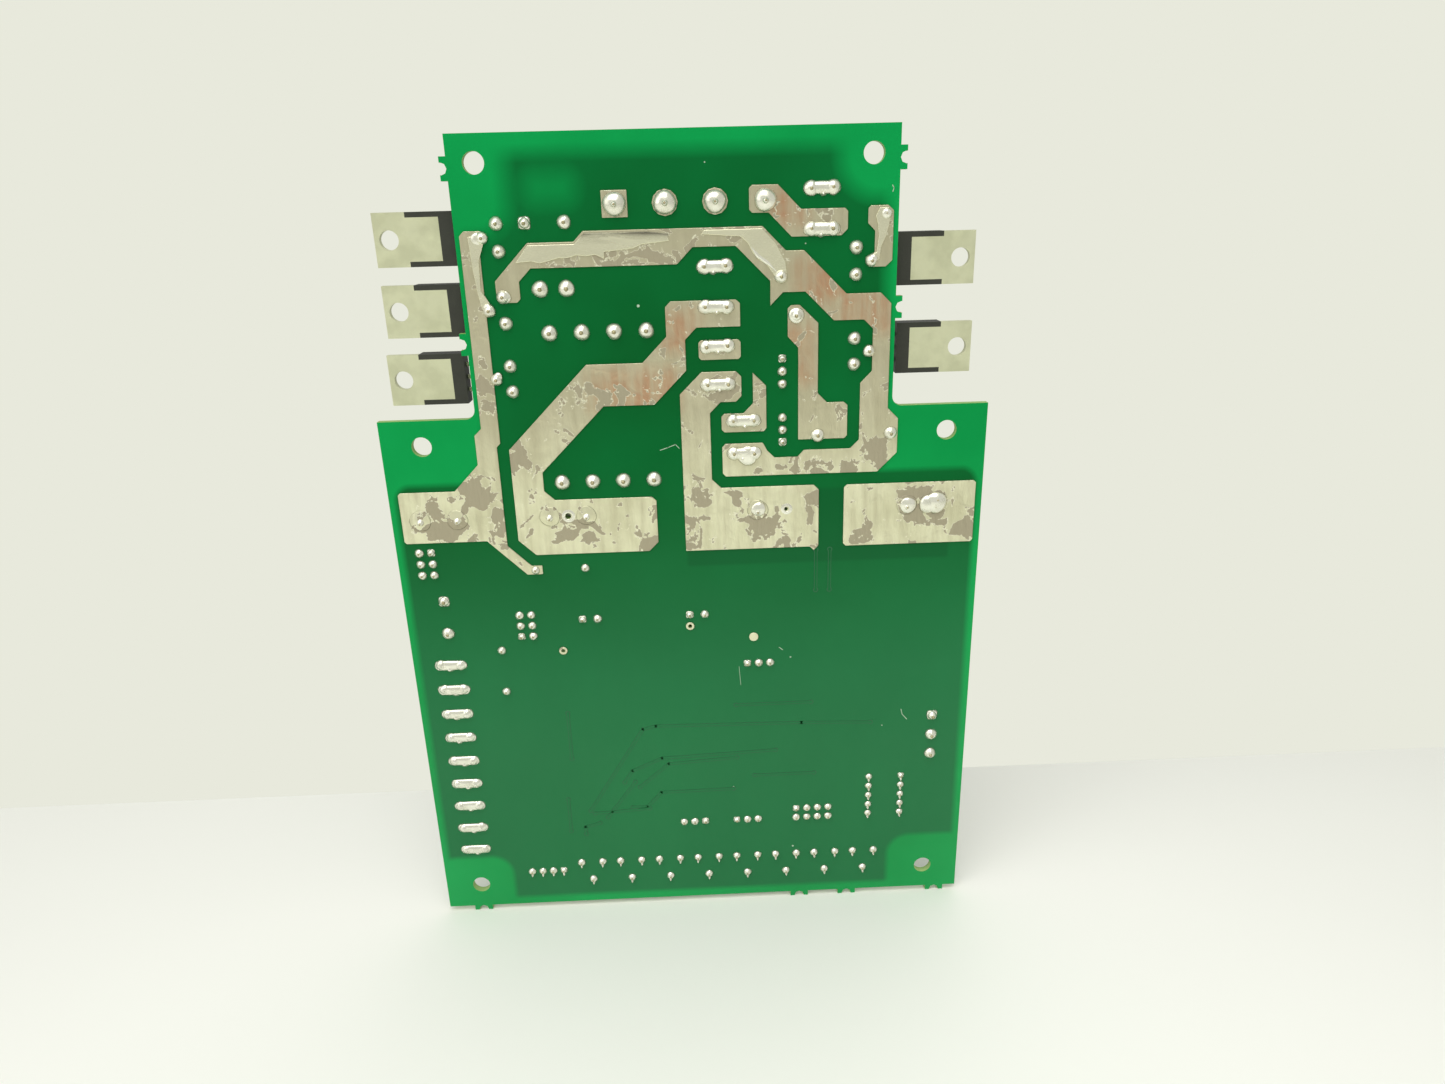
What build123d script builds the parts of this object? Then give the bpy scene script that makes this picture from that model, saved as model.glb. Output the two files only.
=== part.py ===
from build123d import *
from math import sqrt
import os

os.makedirs("parts", exist_ok=True)

# Motor speed control board, standing upright with its solder side to the front.
# Sizes are in millimetres. X runs across the board as the solder side shows it, Y runs from the
# solder face at Y = 0 back through the board to the component side, and Z runs up.
# The origin is the middle of the four chassis holes, on the solder face.
# Places on the board are given as (across, up): across from the centre line, up from the bottom edge.

# Bare board
board_w = 124.5
board_h = 174.0
board_t = 1.6
neck_w = 84.8
shoulder_up = 120.8
shoulder_r = 2.0

# Mounting holes: four for the chassis, and two more at the top
hole_d = 4.1
hole_side_inset = 8.3
hole_low_up = 6.2
chassis_h = 109.2
top_hole_side_inset = 5.0
top_hole_inset = 5.1

# Stubs left where the board was snapped out of its panel
stub_w = 4.3
stub_reach = 1.3
bite_r = 1.15
top_stub_inset = 6.0
left_stub_rise = 14.9
right_stub_rise = 19.7
bottom_stubs_across = (-54.1, 23.6, 35.3, 57.1)

# Copper and solder
pour_t = 0.25
pitch = 2.54

# Solder joints: width of the foot and height, by what is soldered
pin_joint = (1.8, 1.1)
switch_joint = (1.6, 1.0)
trimmer_joint = (1.8, 1.2)
outer_lead_joint = (2.5, 1.5)
middle_lead_joint = (2.3, 1.3)
transformer_joint = (3.0, 1.6)
film_joint = (3.0, 1.5)
surge_joint = (2.5, 1.3)
supply_joint = (2.6, 1.3)
can_joint = (1.85, 1.1)
diode_joint = (1.85, 1.2)
feed_joint = (1.8, 1.0)
sense_joint = (2.6, 1.2)
side_joint = (2.6, 1.6)
clip_joint = (3.0, 1.3)
strip_joint = (4.5, 2.1)
tab_joint = (2.6, 1.2)
tab_joint_l = 7.6
joint_flat = 0.3

# Power devices: a metal tab with a moulded body, three leads bent down into the board
device_tab_depth = 2.2
device_gap = 0.6
body_l = 8.9
body_w = 10.1
body_t = 4.5
body_bevel = 0.7
rail_w = 1.0
end_band = 2.6
tab_t = 1.3
tab_reach = 6.3
tab_hole_d = 3.7
tab_hole_inset = 2.8
lead_w = 0.8
lead_t = 0.5
lead_level = 2.5
outer_lead_inset = 8.05
middle_lead_inset = 5.1
left_devices_up = (155.6, 142.1, 128.7)
right_devices_up = (149.5, 132.1)
left_device_pushes = (0.0, 0.0, 0.9)
right_device_pushes = (0.0, 0.3)

# Quick-connect tabs
power_tab_w = 6.35
power_tab_t = 0.8
power_tab_h = 11.0
control_tab_w = 4.75
control_tab_t = 0.6
control_tab_h = 8.6
control_tab_pitch = 6.14
control_tab_count = 9
control_tab_inset = 8.15
control_tab_low_up = 16.6
tab_root_h = 1.8
tab_root_w = 7.2
tab_nose = 1.1
tab_hole = 1.8
tab_hole_drop = 4.0
power_tabs = [(27.6, 163.0), (27.6, 155.6), (6.9, 149.2), (6.9, 141.6),
              (6.9, 133.9), (6.9, 126.3), (11.9, 118.7), (11.9, 111.9)]

# Barrier terminal strip
strip_at = (2.5, 161.1)
strip_ways = 4
strip_pitch = 9.53
strip_depth = 16.0
strip_base_h = 8.0
strip_wall_h = 16.0
strip_wall_t = 1.6
strip_crest = 1.5
strap_t = 0.8
strap_depth = 12.0
strap_gap = 0.25
strip_screw_d = 6.0
strip_screw_h = 2.4
screw_sides = 20
slot_w = 1.0
slot_deep = 1.2

# Transformer
transformer_at = (-16.5, 122.2)
transformer_row_gap = 30.5
transformer_pin_pitch = 6.35
transformer_pins_a_row = 4
core_leg = 10.6
core_stack = 11.0
core_lift = 6.2
core_gap = 0.15
core_corner = 0.8
former_wall = 0.8
flange_t = 0.9
flange_lip = 1.2
coil_build = 3.9
coil_corner = 1.6
ledge_h = 4.2
ledge_lift = 0.6
ledge_margin = 1.6
transformer_pin = 0.9
pin_stub = 1.0

# Fuses: a glass one on the line, a thicker one for the motor
line_fuse_mid = (-38.9, 99.6)
line_fuse_d = 6.35
line_fuse_l = 31.8
line_fuse_cap_l = 6.4
line_clip_gap = 27.0
line_clip_l = 5.0
line_leg_gap = 7.7
motor_fuse_mid = (33.4, 99.5)
motor_fuse_d = 10.3
motor_fuse_l = 38.1
motor_fuse_cap_l = 9.5
motor_clip_gap = 31.7
motor_clip_l = 7.4
motor_leg_gap = 6.0
fuse_rim = 0.35
fuse_wall = 0.9
fuse_wire = (0.35, 0.6)
clip_t = 0.5
clip_slack = 0.05
clip_foot = 0.9
clip_mouth = 0.8
clip_sides = 12

# Parts with two leads
lead = 0.8
surge_d = 14.5
surge_t = 4.2
surge_lift = 3.2
line_surge_leads = ((-29.0, 158.1), (-21.5, 158.1))
motor_surge_leads = ((22.7, 139.5), (19.7, 147.0))
film_leads = ((-27.1, 145.9), (-22.0, 145.9))
film_size = (7.4, 4.6, 9.5)
supply_leads = ((-53.7, 81.1), (-53.7, 73.5))
supply_size = (5.2, 10.4, 11.0)
box_bevel = 0.4
can_d = 8.0
can_h = 12.5
can_rim = 0.6
can_leads = [((-24.2, 75.7), (-20.9, 75.7)), ((-0.7, 75.8), (2.6, 75.8))]
axial_lift = 3.4
sense_leads = ((27.1, 115.2), (42.2, 115.2))
sense_size = (5.6, 11.5)
feed_leads = ((-33.3, 87.7), (-22.7, 87.7))
feed_size = (3.2, 7.6)
diode_leads = ((-42.5, 58.7), (-42.5, 68.9))
diode_size = (2.8, 5.2)

# Pin headers: lowest left pin, pins across, pins up
headers = {
    "left_block": (-57.5, 87.3, 2, 3),
    "middle_block": (-37.8, 72.1, 2, 3),
    "lower_block": (22.8, 21.8, 4, 2),
    "lower_left_row": (-4.0, 21.8, 3, 1),
    "lower_right_row": (8.6, 21.8, 3, 1),
    "middle_row": (11.8, 63.4, 3, 1),
    "upper_column": (19.9, 126.0, 1, 3),
    "second_column": (19.9, 114.0, 1, 3),
    "corner_row": (-41.3, 9.4, 4, 1),
}
square_pins = [(-55.0, 92.4), (-37.8, 72.1), (22.8, 24.3), (1.1, 21.8), (8.6, 21.8), (11.8, 63.4),
               (19.9, 131.1), (19.9, 114.0), (-33.7, 9.4)]
strip_h = 2.5
post = 0.64
post_h = 8.4
cap_w = 2.3
cap_h = 5.6
cap_bore = 0.8
cap_lift = 0.2
# Jumper caps: lower or left pin of the pair, and whether the pair stands upright
jumpers = [(19.9, 126.0, True), (19.9, 116.5, True), (-4.0, 21.8, False), (11.8, 63.4, False),
           (-57.5, 89.8, False), (25.3, 21.8, True)]

# Three-way screw terminal near the right edge
side_inset = 8.0
side_low_up = 38.1
side_pitch = 5.06
side_ways = 3
side_depth = 8.6
side_h = 10.0
side_margin = 0.4
side_bevel = 1.4
side_mouth_lift = 1.2
side_mouth = (3.3, 3.6)
side_mouth_deep = 3.6
side_well_deep = 1.4
side_screw_d = 3.4
side_screw_slack = 0.15
side_screw_h = 1.0
side_screw_sides = 12
side_slot = (0.7, 0.5)

# Five-way slide switch in a ten-pin case
switch_at = (43.8, 27.2)
switch_ways = 5
switch_row_gap = 7.6
switch_w = 9.8
switch_margin = 0.8
switch_h = 4.6
switch_bevel = 0.4
slider_bevel = 0.2
track_l = 3.6
track_w = 1.6
track_deep = 1.5
slider_l = 1.6
slider_slack = 0.12
slider_top = 0.7

# Trimmers along the bottom edge
trimmer_count = 8
trimmer_pitch = 9.4
trimmer_first = -26.7
trimmer_low_up = 6.5
trimmer_rise = 4.95
trimmer_span = 5.08
trimmer_w = 6.8
trimmer_h = 3.9
trimmer_floor = 1.0
trimmer_corner = 1.0
rotor_d = 4.6
rotor_slack = 0.05
rotor_top = 0.5
rotor_foot_gap = 0.1
rotor_sides = 16
rotor_slot = 0.75
rotor_slot_deep = 1.1
rotor_slot_long = 0.72

# Surface parts: middle and pins a side of each chip, then the small two-ended ones
chips = [(-18.0, 45.0, 4), (-2.0, 45.0, 7), (16.0, 45.0, 7)]
chip_pitch = 1.27
chip_body_w = 3.9
chip_reach = 6.0
chip_h = 1.5
chip_lift = 0.15
chip_leg = (0.42, 0.2)
chip_bevel = 0.25
chip_end = 0.1
two_ended = (2.0, 1.25, 0.55)
two_ended_cap = 0.4
two_ended_rows = [(-26.6, 17.4, 3), (-9.0, 34.0, 3), (6.0, 54.0, 3)]
two_ended_gap = 4.7

foot_z = -(hole_low_up + chassis_h / 2)
neck_left = -neck_w / 2
neck_right = neck_w / 2


def facing(depth):
    """A plane at this depth behind the solder face, with (across, up) places, facing the front."""
    return Plane(origin=(0, depth, foot_z), x_dir=(1, 0, 0), z_dir=(0, -1, 0))


def raised(height):
    """The same kind of plane, a height above the component face."""
    return facing(board_t + height)


def side_on(across):
    """A plane across the board at this place, with (depth, up) places, facing right."""
    return Plane(origin=(across, 0, foot_z), x_dir=(0, 1, 0), z_dir=(1, 0, 0))


def level(up):
    """A level plane at this place, with (across, depth) places, facing up."""
    return Plane(origin=(0, 0, foot_z + up), x_dir=(1, 0, 0), z_dir=(0, 0, 1))


def save(piece, name):
    piece.part.label = name
    export_step(piece.part, f"parts/{name}.step")


def middle(leads):
    (x1, z1), (x2, z2) = leads
    return (x1 + x2) / 2, (z1 + z2) / 2


def header_points(name):
    x, z, across, up = headers[name]
    return [(x + i * pitch, z + j * pitch) for i in range(across) for j in range(up)]


def near_any(point, others):
    return any(abs(point[0] - x) < 0.6 and abs(point[1] - z) < 0.6 for x, z in others)


# Places that follow from the sizes above
chassis_across = board_w / 2 - hole_side_inset
top_across = neck_w / 2 - top_hole_side_inset
chassis_holes = [(side * chassis_across, up) for side in (-1, 1)
                 for up in (hole_low_up, hole_low_up + chassis_h)]
top_holes = [(side * top_across, board_h - top_hole_inset) for side in (-1, 1)]
line_clips = [(line_fuse_mid[0] + side * line_clip_gap / 2, line_fuse_mid[1]) for side in (-1, 1)]
motor_clips = [(motor_fuse_mid[0] + side * motor_clip_gap / 2, motor_fuse_mid[1]) for side in (-1, 1)]
open_clip_hole = line_clips[1]
empty_leg_hole = (motor_clips[0][0] + motor_leg_gap / 2, motor_clips[0][1])
spare_pads = [(-29.0, 68.3), (-0.7, 73.1)]
spare_pad_d = 1.9
spare_hole_d = 0.9
clip_hole_d = 1.3
leg_hole_d = 0.8
test_pad = (13.3, 69.9)
test_pad_d = 2.1
strip_land = 4.9
few_sides = 8
ring_sides = 12
round_sides = 32
control_tabs = [(-board_w / 2 + control_tab_inset, control_tab_low_up + i * control_tab_pitch)
                for i in range(control_tab_count)]
strip_pins = [(strip_at[0] + (i - (strip_ways - 1) / 2) * strip_pitch, strip_at[1])
              for i in range(strip_ways)]
transformer_pins = [(transformer_at[0] + (i - (transformer_pins_a_row - 1) / 2) * transformer_pin_pitch,
                     transformer_at[1] + side * transformer_row_gap / 2)
                    for i in range(transformer_pins_a_row) for side in (-1, 1)]
side_across = board_w / 2 - side_inset
side_pins = [(side_across, side_low_up + i * side_pitch) for i in range(side_ways)]
switch_ups = [switch_at[1] + (i - (switch_ways - 1) / 2) * pitch for i in range(switch_ways)]
switch_pins = [(switch_at[0] + side * switch_row_gap / 2, up) for up in switch_ups for side in (-1, 1)]
trimmers_across = [trimmer_first + i * trimmer_pitch for i in range(trimmer_count)]
trimmer_mid_up = trimmer_low_up + trimmer_rise / 2
trimmer_pins = [point for x in trimmers_across
                for point in ((x, trimmer_low_up),
                              (x - trimmer_span / 2, trimmer_low_up + trimmer_rise),
                              (x + trimmer_span / 2, trimmer_low_up + trimmer_rise))]


def device_leads(side, up):
    """The two outer leads and the staggered middle one, in that order."""
    edge = side * neck_w / 2
    outer = edge - side * outer_lead_inset
    inner = edge - side * middle_lead_inset
    return [(outer, up - pitch), (outer, up + pitch), (inner, up)]


devices = [(-1, up, push, name) for up, push, name in
           zip(left_devices_up, left_device_pushes, ("left_upper", "left_middle", "left_lower"))]
devices += [(1, up, push, name) for up, push, name in
            zip(right_devices_up, right_device_pushes, ("right_upper", "right_lower"))]


# Board: the outline, its mounting holes, the snapped stubs and the holes left open
def make_board():
    with BuildPart() as board:
        with BuildSketch(facing(0)) as outline:
            with Locations((0, 0)):
                Rectangle(board_w, shoulder_up, align=(Align.CENTER, Align.MIN))
                Rectangle(neck_w, board_h, align=(Align.CENTER, Align.MIN))
            inner = [v for v in outline.vertices()
                     if abs(v.Y - shoulder_up) < 0.01 and abs(v.X) < neck_w / 2 + 0.01]
            fillet(inner, radius=shoulder_r)
            stubs = [(neck_left, board_h - top_stub_inset, 180),
                     (neck_left, shoulder_up + left_stub_rise, 180),
                     (neck_right, board_h - top_stub_inset, 0),
                     (neck_right, shoulder_up + right_stub_rise, 0)]
            stubs += [(across, 0, -90) for across in bottom_stubs_across]
            for across, up, turn in stubs:
                with Locations(Location((across, up, 0), (0, 0, turn))):
                    Rectangle(2 * stub_reach, stub_w)
                    with Locations((bite_r, 0)):
                        RegularPolygon(bite_r, few_sides, mode=Mode.SUBTRACT)
            with Locations(*chassis_holes, *top_holes):
                Circle(hole_d / 2, mode=Mode.SUBTRACT)
            for places, d in ((spare_pads, spare_hole_d), ([open_clip_hole], clip_hole_d),
                              ([empty_leg_hole], leg_hole_d)):
                with Locations(*places):
                    RegularPolygon(d / 2, few_sides, mode=Mode.SUBTRACT)
        extrude(amount=-board_t)
    save(board, "circuit_board")


# Tinned copper: the bare high-current areas, each an outline with cut corners
left_pour = [
    (neck_left + 0.9, 156.0), (neck_left + 1.8, 156.9), (neck_left + 5.0, 156.9),
    (neck_left + 5.9, 156.0), (neck_left + 4.5, 153.6), (neck_left + 4.5, 115.7),
    (neck_left + 3.7, 114.9), (neck_left + 3.7, 93.4), (-34.0, 88.7), (-31.8, 88.7),
    (-31.8, 86.7), (-35.1, 86.7), (-42.9, 94.6), (-59.7, 94.6), (-60.2, 95.1), (-60.2, 105.3),
    (-59.7, 105.8), (-48.4, 105.8), (neck_left - 0.6, 111.3), (neck_left - 0.6, 117.4),
    (neck_left + 0.9, 118.8)]
upper_pour = [
    (neck_left + 6.8, 139.2 + 5.08), (neck_left + 7.5, 143.5), (neck_left + 10.7, 143.5),
    (neck_left + 11.4, 144.2), (neck_left + 11.4, 147.4), (-28.6, 149.8), (-0.4, 149.8),
    (2.7, 152.9), (11.0, 152.9), (17.6, 146.2), (17.6, 141.5), (20.1, 144.0), (24.5, 144.0),
    (30.2, 138.3), (neck_right - 6.2, 138.3), (neck_right - 4.4, 136.5),
    (neck_right - 4.4, 128.1), (neck_right - 6.7, 125.7), (neck_right - 6.7, 114.0),
    (neck_right - 8.5, 112.2), (24.3, 112.2), (23.0, 110.8), (18.2, 110.8), (16.7, 112.3),
    (15.8, 114.0), (8.1, 114.0), (7.4, 113.3), (7.4, 107.7), (8.1, 107.0), (39.7, 107.0),
    (neck_right + 1.3, 111.0), (neck_right + 1.3, 118.2), (neck_right - 0.9, 120.4),
    (neck_right - 0.9, 141.3), (neck_right - 3.0, 143.4), (32.6, 143.4), (24.2, 151.8),
    (20.7, 151.8), (16.2, 156.4), (-18.1, 156.4), (-20.0, 154.5), (-28.8, 154.5),
    (neck_left + 6.8, 147.6)]
middle_pour = [
    (0.6, 129.3), (-6.1, 122.6), (-16.4, 122.6), (-29.9, 109.2), (-29.9, 105.2), (-27.8, 103.2),
    (-7.6, 103.2), (-6.7, 102.3), (-6.7, 93.1), (-8.7, 91.1), (-32.8, 91.1), (-36.3, 94.5),
    (-36.3, 114.2), (-19.3, 131.1), (-8.1, 131.1), (-3.1, 136.1), (-3.1, 141.8), (-2.0, 142.9),
    (10.8, 142.9), (11.6, 142.2), (11.6, 137.7), (2.9, 137.7), (0.6, 135.4)]
fuse_pour = [
    (-0.9, 90.8), (25.7, 90.8), (26.5, 90.0), (27.5, 91.0), (27.5, 103.5), (26.4, 104.6),
    (7.0, 104.6), (5.1, 106.5), (5.1, 120.5), (7.3, 122.7), (10.4, 122.7), (11.6, 123.9),
    (11.6, 127.8), (10.5, 128.9), (3.6, 128.9), (-0.9, 124.5)]
motor_pour = [
    (33.4, 90.7), (60.3, 90.7), (60.8, 91.2), (60.8, 103.9), (60.3, 104.4), (33.4, 104.4),
    (32.8, 103.8), (32.8, 91.3)]
bridge_pour = [
    (21.0, 135.4), (23.1, 133.2), (23.1, 114.4), (32.6, 114.4), (33.2, 115.0), (33.2, 121.3),
    (32.4, 122.0), (29.0, 122.0), (27.1, 123.9), (27.1, 137.9), (23.4, 141.5), (21.7, 141.5),
    (21.0, 140.9)]
seventh_tab_pour = [
    (8.0, 116.4), (16.0, 116.4), (16.6, 117.1), (16.6, 125.8), (13.9, 128.5), (13.9, 122.3),
    (11.9, 120.3), (8.0, 120.3), (7.4, 119.7), (7.4, 117.0)]
fifth_tab_pour = [(3.7, 131.3), (11.1, 131.3), (11.6, 131.8), (11.6, 134.7), (11.1, 135.2),
                  (3.7, 135.2), (3.2, 134.7), (3.2, 131.8)]
strip_pour = [
    (14.3, 158.8), (17.4, 158.8), (21.8, 154.3), (31.4, 154.3), (32.6, 155.5), (32.6, 158.7),
    (32.0, 159.3), (23.6, 159.3), (19.2, 163.8), (14.3, 163.8), (13.7, 163.2), (13.7, 159.4)]
right_device_pour = [
    (neck_right - 5.4, 148.3), (neck_right - 2.3, 148.3), (neck_right - 1.0, 149.5),
    (neck_right - 1.0, 158.6), (neck_right - 2.1, 159.6), (neck_right - 5.4, 159.6),
    (neck_right - 5.9, 159.1), (neck_right - 5.9, 156.4), (neck_right - 4.5, 155.0),
    (neck_right - 4.5, 151.0), (neck_right - 6.2, 150.2), (neck_right - 6.2, 149.1)]
pours = [left_pour, upper_pour, middle_pour, fuse_pour, motor_pour, bridge_pour,
         seventh_tab_pour, fifth_tab_pour, strip_pour, right_device_pour]


def make_pours():
    with BuildPart() as tinned:
        for outline in pours:
            with BuildSketch(facing(0)):
                with BuildLine():
                    Polyline(*outline, close=True)
                make_face()
            extrude(amount=pour_t)
        with BuildSketch(facing(0)):
            with Locations(open_clip_hole):
                RegularPolygon(clip_hole_d / 2, few_sides)
            with Locations(empty_leg_hole):
                RegularPolygon(leg_hole_d / 2, few_sides)
        extrude(amount=pour_t, mode=Mode.SUBTRACT)
    save(tinned, "tinned_pours")


def make_pads():
    """Flat tinned pads: the test pad, two unused pads and the lands under the strip's joints."""
    with BuildPart() as pads:
        with BuildSketch(facing(0)):
            with Locations(test_pad):
                RegularPolygon(test_pad_d / 2, ring_sides)
            with Locations(*spare_pads):
                RegularPolygon(spare_pad_d / 2, ring_sides)
                RegularPolygon(spare_hole_d / 2, few_sides, mode=Mode.SUBTRACT)
            with Locations(strip_pins[0]):
                Rectangle(strip_land, strip_land)
            with Locations(*strip_pins[1:-1]):
                RegularPolygon(strip_land / 2, ring_sides)
        extrude(amount=pour_t)
    save(pads, "tinned_pads")


# Solder joints. The lead and the solder in its hole count as board, so a joint stands on the face.
def solder_on(points, size, base=0.0, square=False, flat=False, sides=8, long=0.0):
    """The same joint at each point: a few-sided cone, whole or cut flat where a lead ends in it."""
    width, height = size
    half = width / 2
    peak = height / (1 - joint_flat) if flat else height
    with BuildPart() as joint:
        with BuildSketch(Plane.XZ) as foot:
            if long:
                cut = half * 0.7
                with BuildLine():
                    Polyline((-long / 2, -half + cut), (-long / 2 + cut, -half), (long / 2 - cut, -half),
                             (long / 2, -half + cut), (long / 2, half - cut), (long / 2 - cut, half),
                             (-long / 2 + cut, half), (-long / 2, half - cut), close=True)
                make_face()
            elif square:
                Rectangle(width, width)
            else:
                RegularPolygon(half, sides, major_radius=False, rotation=180 / sides)
        loft(sections=[foot.sketch.face(), Vertex(0, -peak, 0)], ruled=True)
        if flat:
            split(bisect_by=Plane(origin=(0, -height, 0), z_dir=(0, 1, 0)), keep=Keep.TOP)
    with Locations(*[(x, -base, foot_z + z) for x, z in points]):
        add(joint.part)


def make_pin_joints():
    header_pins = [p for name in headers for p in header_points(name)]
    round_pins = [p for p in header_pins if not near_any(p, square_pins)]
    outer_leads = [p for side, up, push, name in devices for p in device_leads(side, up)[:2]]
    in_pour = (neck_left + outer_lead_inset, left_devices_up[1] + pitch)
    bare_outer = [p for p in outer_leads if not near_any(p, [in_pour])]
    middle_leads = [device_leads(side, up)[2] for side, up, push, name in devices]
    with BuildPart() as joints:
        solder_on(round_pins, pin_joint)
        solder_on(square_pins, pin_joint, square=True)
        solder_on(switch_pins[:-1], switch_joint)
        solder_on(switch_pins[-1:], switch_joint, square=True)
        solder_on(trimmer_pins, trimmer_joint)
        solder_on(bare_outer, outer_lead_joint, flat=True)
        solder_on([in_pour], outer_lead_joint, pour_t, flat=True)
        solder_on(middle_leads, middle_lead_joint, pour_t, flat=True)
        solder_on(transformer_pins, transformer_joint, flat=True)
        solder_on(film_leads, film_joint)
        solder_on(line_surge_leads[1:], surge_joint)
        solder_on(line_surge_leads[:1], surge_joint, square=True)
        solder_on(motor_surge_leads, surge_joint, pour_t)
        solder_on(supply_leads[1:], supply_joint)
        solder_on(supply_leads[:1], supply_joint, square=True)
        solder_on([pair[1] for pair in can_leads], can_joint)
        solder_on([pair[0] for pair in can_leads], can_joint, square=True)
        solder_on(diode_leads, diode_joint)
        solder_on(feed_leads[1:], feed_joint)
        solder_on(feed_leads[:1], feed_joint, pour_t)
        solder_on(sense_leads, sense_joint, pour_t)
        solder_on(side_pins[:-1], side_joint, flat=True)
        solder_on(side_pins[-1:], side_joint, square=True, flat=True)
    save(joints, "pin_joints")


def make_wide_joints():
    """Joints of the quick-connect tabs: one long bead over both legs of each."""
    in_pour = power_tabs[1:2] + power_tabs[3:]
    on_board = [power_tabs[0], power_tabs[2]]
    with BuildPart() as joints:
        solder_on(on_board + control_tabs, tab_joint, flat=True, long=tab_joint_l)
        solder_on(in_pour, tab_joint, pour_t, flat=True, long=tab_joint_l)
    save(joints, "tab_joints")


def make_heavy_joints():
    """Joints of the terminal strip and the fuse clips."""
    line_legs = [(x + side * line_leg_gap / 2, z) for x, z in line_clips for side in (-1, 1)]
    motor_legs = [(x + side * motor_leg_gap / 2, z) for x, z in motor_clips for side in (-1, 1)]
    filled = [p for p in line_legs + motor_legs if p != motor_legs[1]]
    with BuildPart() as joints:
        solder_on(strip_pins, strip_joint, pour_t, flat=True, sides=12)
        solder_on(filled, clip_joint, pour_t, flat=True)
    save(joints, "heavy_joints")


# Power devices
def make_device(side, up, push, name):
    near = side * (neck_w / 2 + device_gap + push)
    body_end = near + side * body_l
    tab_end = body_end + side * tab_reach
    inlay = near + side * end_band
    with BuildPart() as body:
        with BuildSketch(facing(device_tab_depth)):
            with Locations(((near + body_end) / 2, up)):
                Rectangle(body_l, body_w)
        extrude(amount=-body_t)
        chamfer(body.faces().sort_by(Axis.Y)[-1].edges(), length=body_bevel)
        with BuildSketch(facing(device_tab_depth)):
            with Locations(((inlay + body_end) / 2, up)):
                Rectangle(abs(body_end - inlay), body_w - 2 * rail_w)
        extrude(amount=-tab_t, mode=Mode.SUBTRACT)
    save(body, f"{name}_device_body")

    lead_depth = device_tab_depth + lead_level
    with BuildPart() as metal:
        with BuildSketch(facing(device_tab_depth)):
            with Locations(((inlay + body_end) / 2, up)):
                Rectangle(abs(body_end - inlay), body_w - 2 * rail_w)
            with Locations(((body_end + tab_end) / 2, up)):
                Rectangle(tab_reach, body_w)
            with Locations((tab_end - side * tab_hole_inset, up)):
                Circle(tab_hole_d / 2, mode=Mode.SUBTRACT)
        extrude(amount=-tab_t)
        half = lead_t / 2
        for foot, at in device_leads(side, up):
            outside = foot - side * half
            inside = foot + side * half
            with BuildSketch(level(at)):
                with BuildLine():
                    Polyline((near, lead_depth - half), (inside, lead_depth - half), (inside, board_t),
                             (outside, board_t), (outside, lead_depth), (foot, lead_depth + half),
                             (near, lead_depth + half), close=True)
                make_face()
            extrude(amount=lead_w / 2, both=True)
    save(metal, f"{name}_device_tab")


# Quick-connect tabs: a root on the board, a blade above it with a bevelled nose
def quick_tab(at, width, thick, height, pierced):
    with BuildSketch(level(at[1])) as outline:
        with BuildLine():
            Polyline((at[0] - tab_root_w / 2, board_t), (at[0] + tab_root_w / 2, board_t),
                     (at[0] + tab_root_w / 2, board_t + tab_root_h),
                     (at[0] + width / 2, board_t + tab_root_h),
                     (at[0] + width / 2, board_t + height - tab_nose),
                     (at[0] + width / 2 - tab_nose, board_t + height),
                     (at[0] - width / 2 + tab_nose, board_t + height),
                     (at[0] - width / 2, board_t + height - tab_nose),
                     (at[0] - width / 2, board_t + tab_root_h),
                     (at[0] - tab_root_w / 2, board_t + tab_root_h), close=True)
        make_face()
        if pierced:
            with Locations((at[0], board_t + height - tab_hole_drop)):
                RegularPolygon(tab_hole / 2, few_sides, mode=Mode.SUBTRACT)
    extrude(outline.sketch, amount=thick / 2, both=True)


def make_tabs():
    with BuildPart() as power:
        for at in power_tabs:
            quick_tab(at, power_tab_w, power_tab_t, power_tab_h, True)
    save(power, "power_tabs")
    with BuildPart() as control:
        for at in control_tabs:
            quick_tab(at, control_tab_w, control_tab_t, control_tab_h, False)
    save(control, "control_tabs")


# Barrier terminal strip: moulded base and walls, a strap and a screw in each bay
def make_strip():
    walls = [strip_at[0] + (i - strip_ways / 2) * strip_pitch for i in range(strip_ways + 1)]
    with BuildPart() as housing:
        with BuildSketch(raised(0)):
            with Locations(strip_at):
                Rectangle(strip_ways * strip_pitch + strip_wall_t, strip_depth)
        extrude(amount=-strip_base_h)
        with BuildSketch(raised(strip_base_h)):
            with Locations(*[(x, strip_at[1]) for x in walls]):
                Rectangle(strip_wall_t, strip_depth)
        extrude(amount=-(strip_wall_h - strip_base_h))
        crests = housing.edges().filter_by(Axis.X).group_by(Axis.Y)[-1]
        chamfer(crests, length=strip_crest)
    save(housing, "terminal_strip")

    bay = strip_pitch - strip_wall_t
    with BuildPart() as straps:
        with BuildSketch(raised(strip_base_h)):
            with Locations(*strip_pins):
                Rectangle(bay - 2 * strap_gap, strap_depth)
        extrude(amount=-strap_t)
    save(straps, "strip_straps")

    with BuildPart() as screws:
        with BuildSketch(raised(strip_base_h + strap_t)):
            with Locations(*strip_pins):
                RegularPolygon(strip_screw_d / 2, screw_sides)
        extrude(amount=-strip_screw_h)
        with BuildSketch(raised(strip_base_h + strap_t + strip_screw_h)):
            with Locations(*strip_pins):
                Rectangle(strip_screw_d + 1, slot_w)
        extrude(amount=slot_deep, mode=Mode.SUBTRACT)
    save(screws, "strip_screws")


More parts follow.
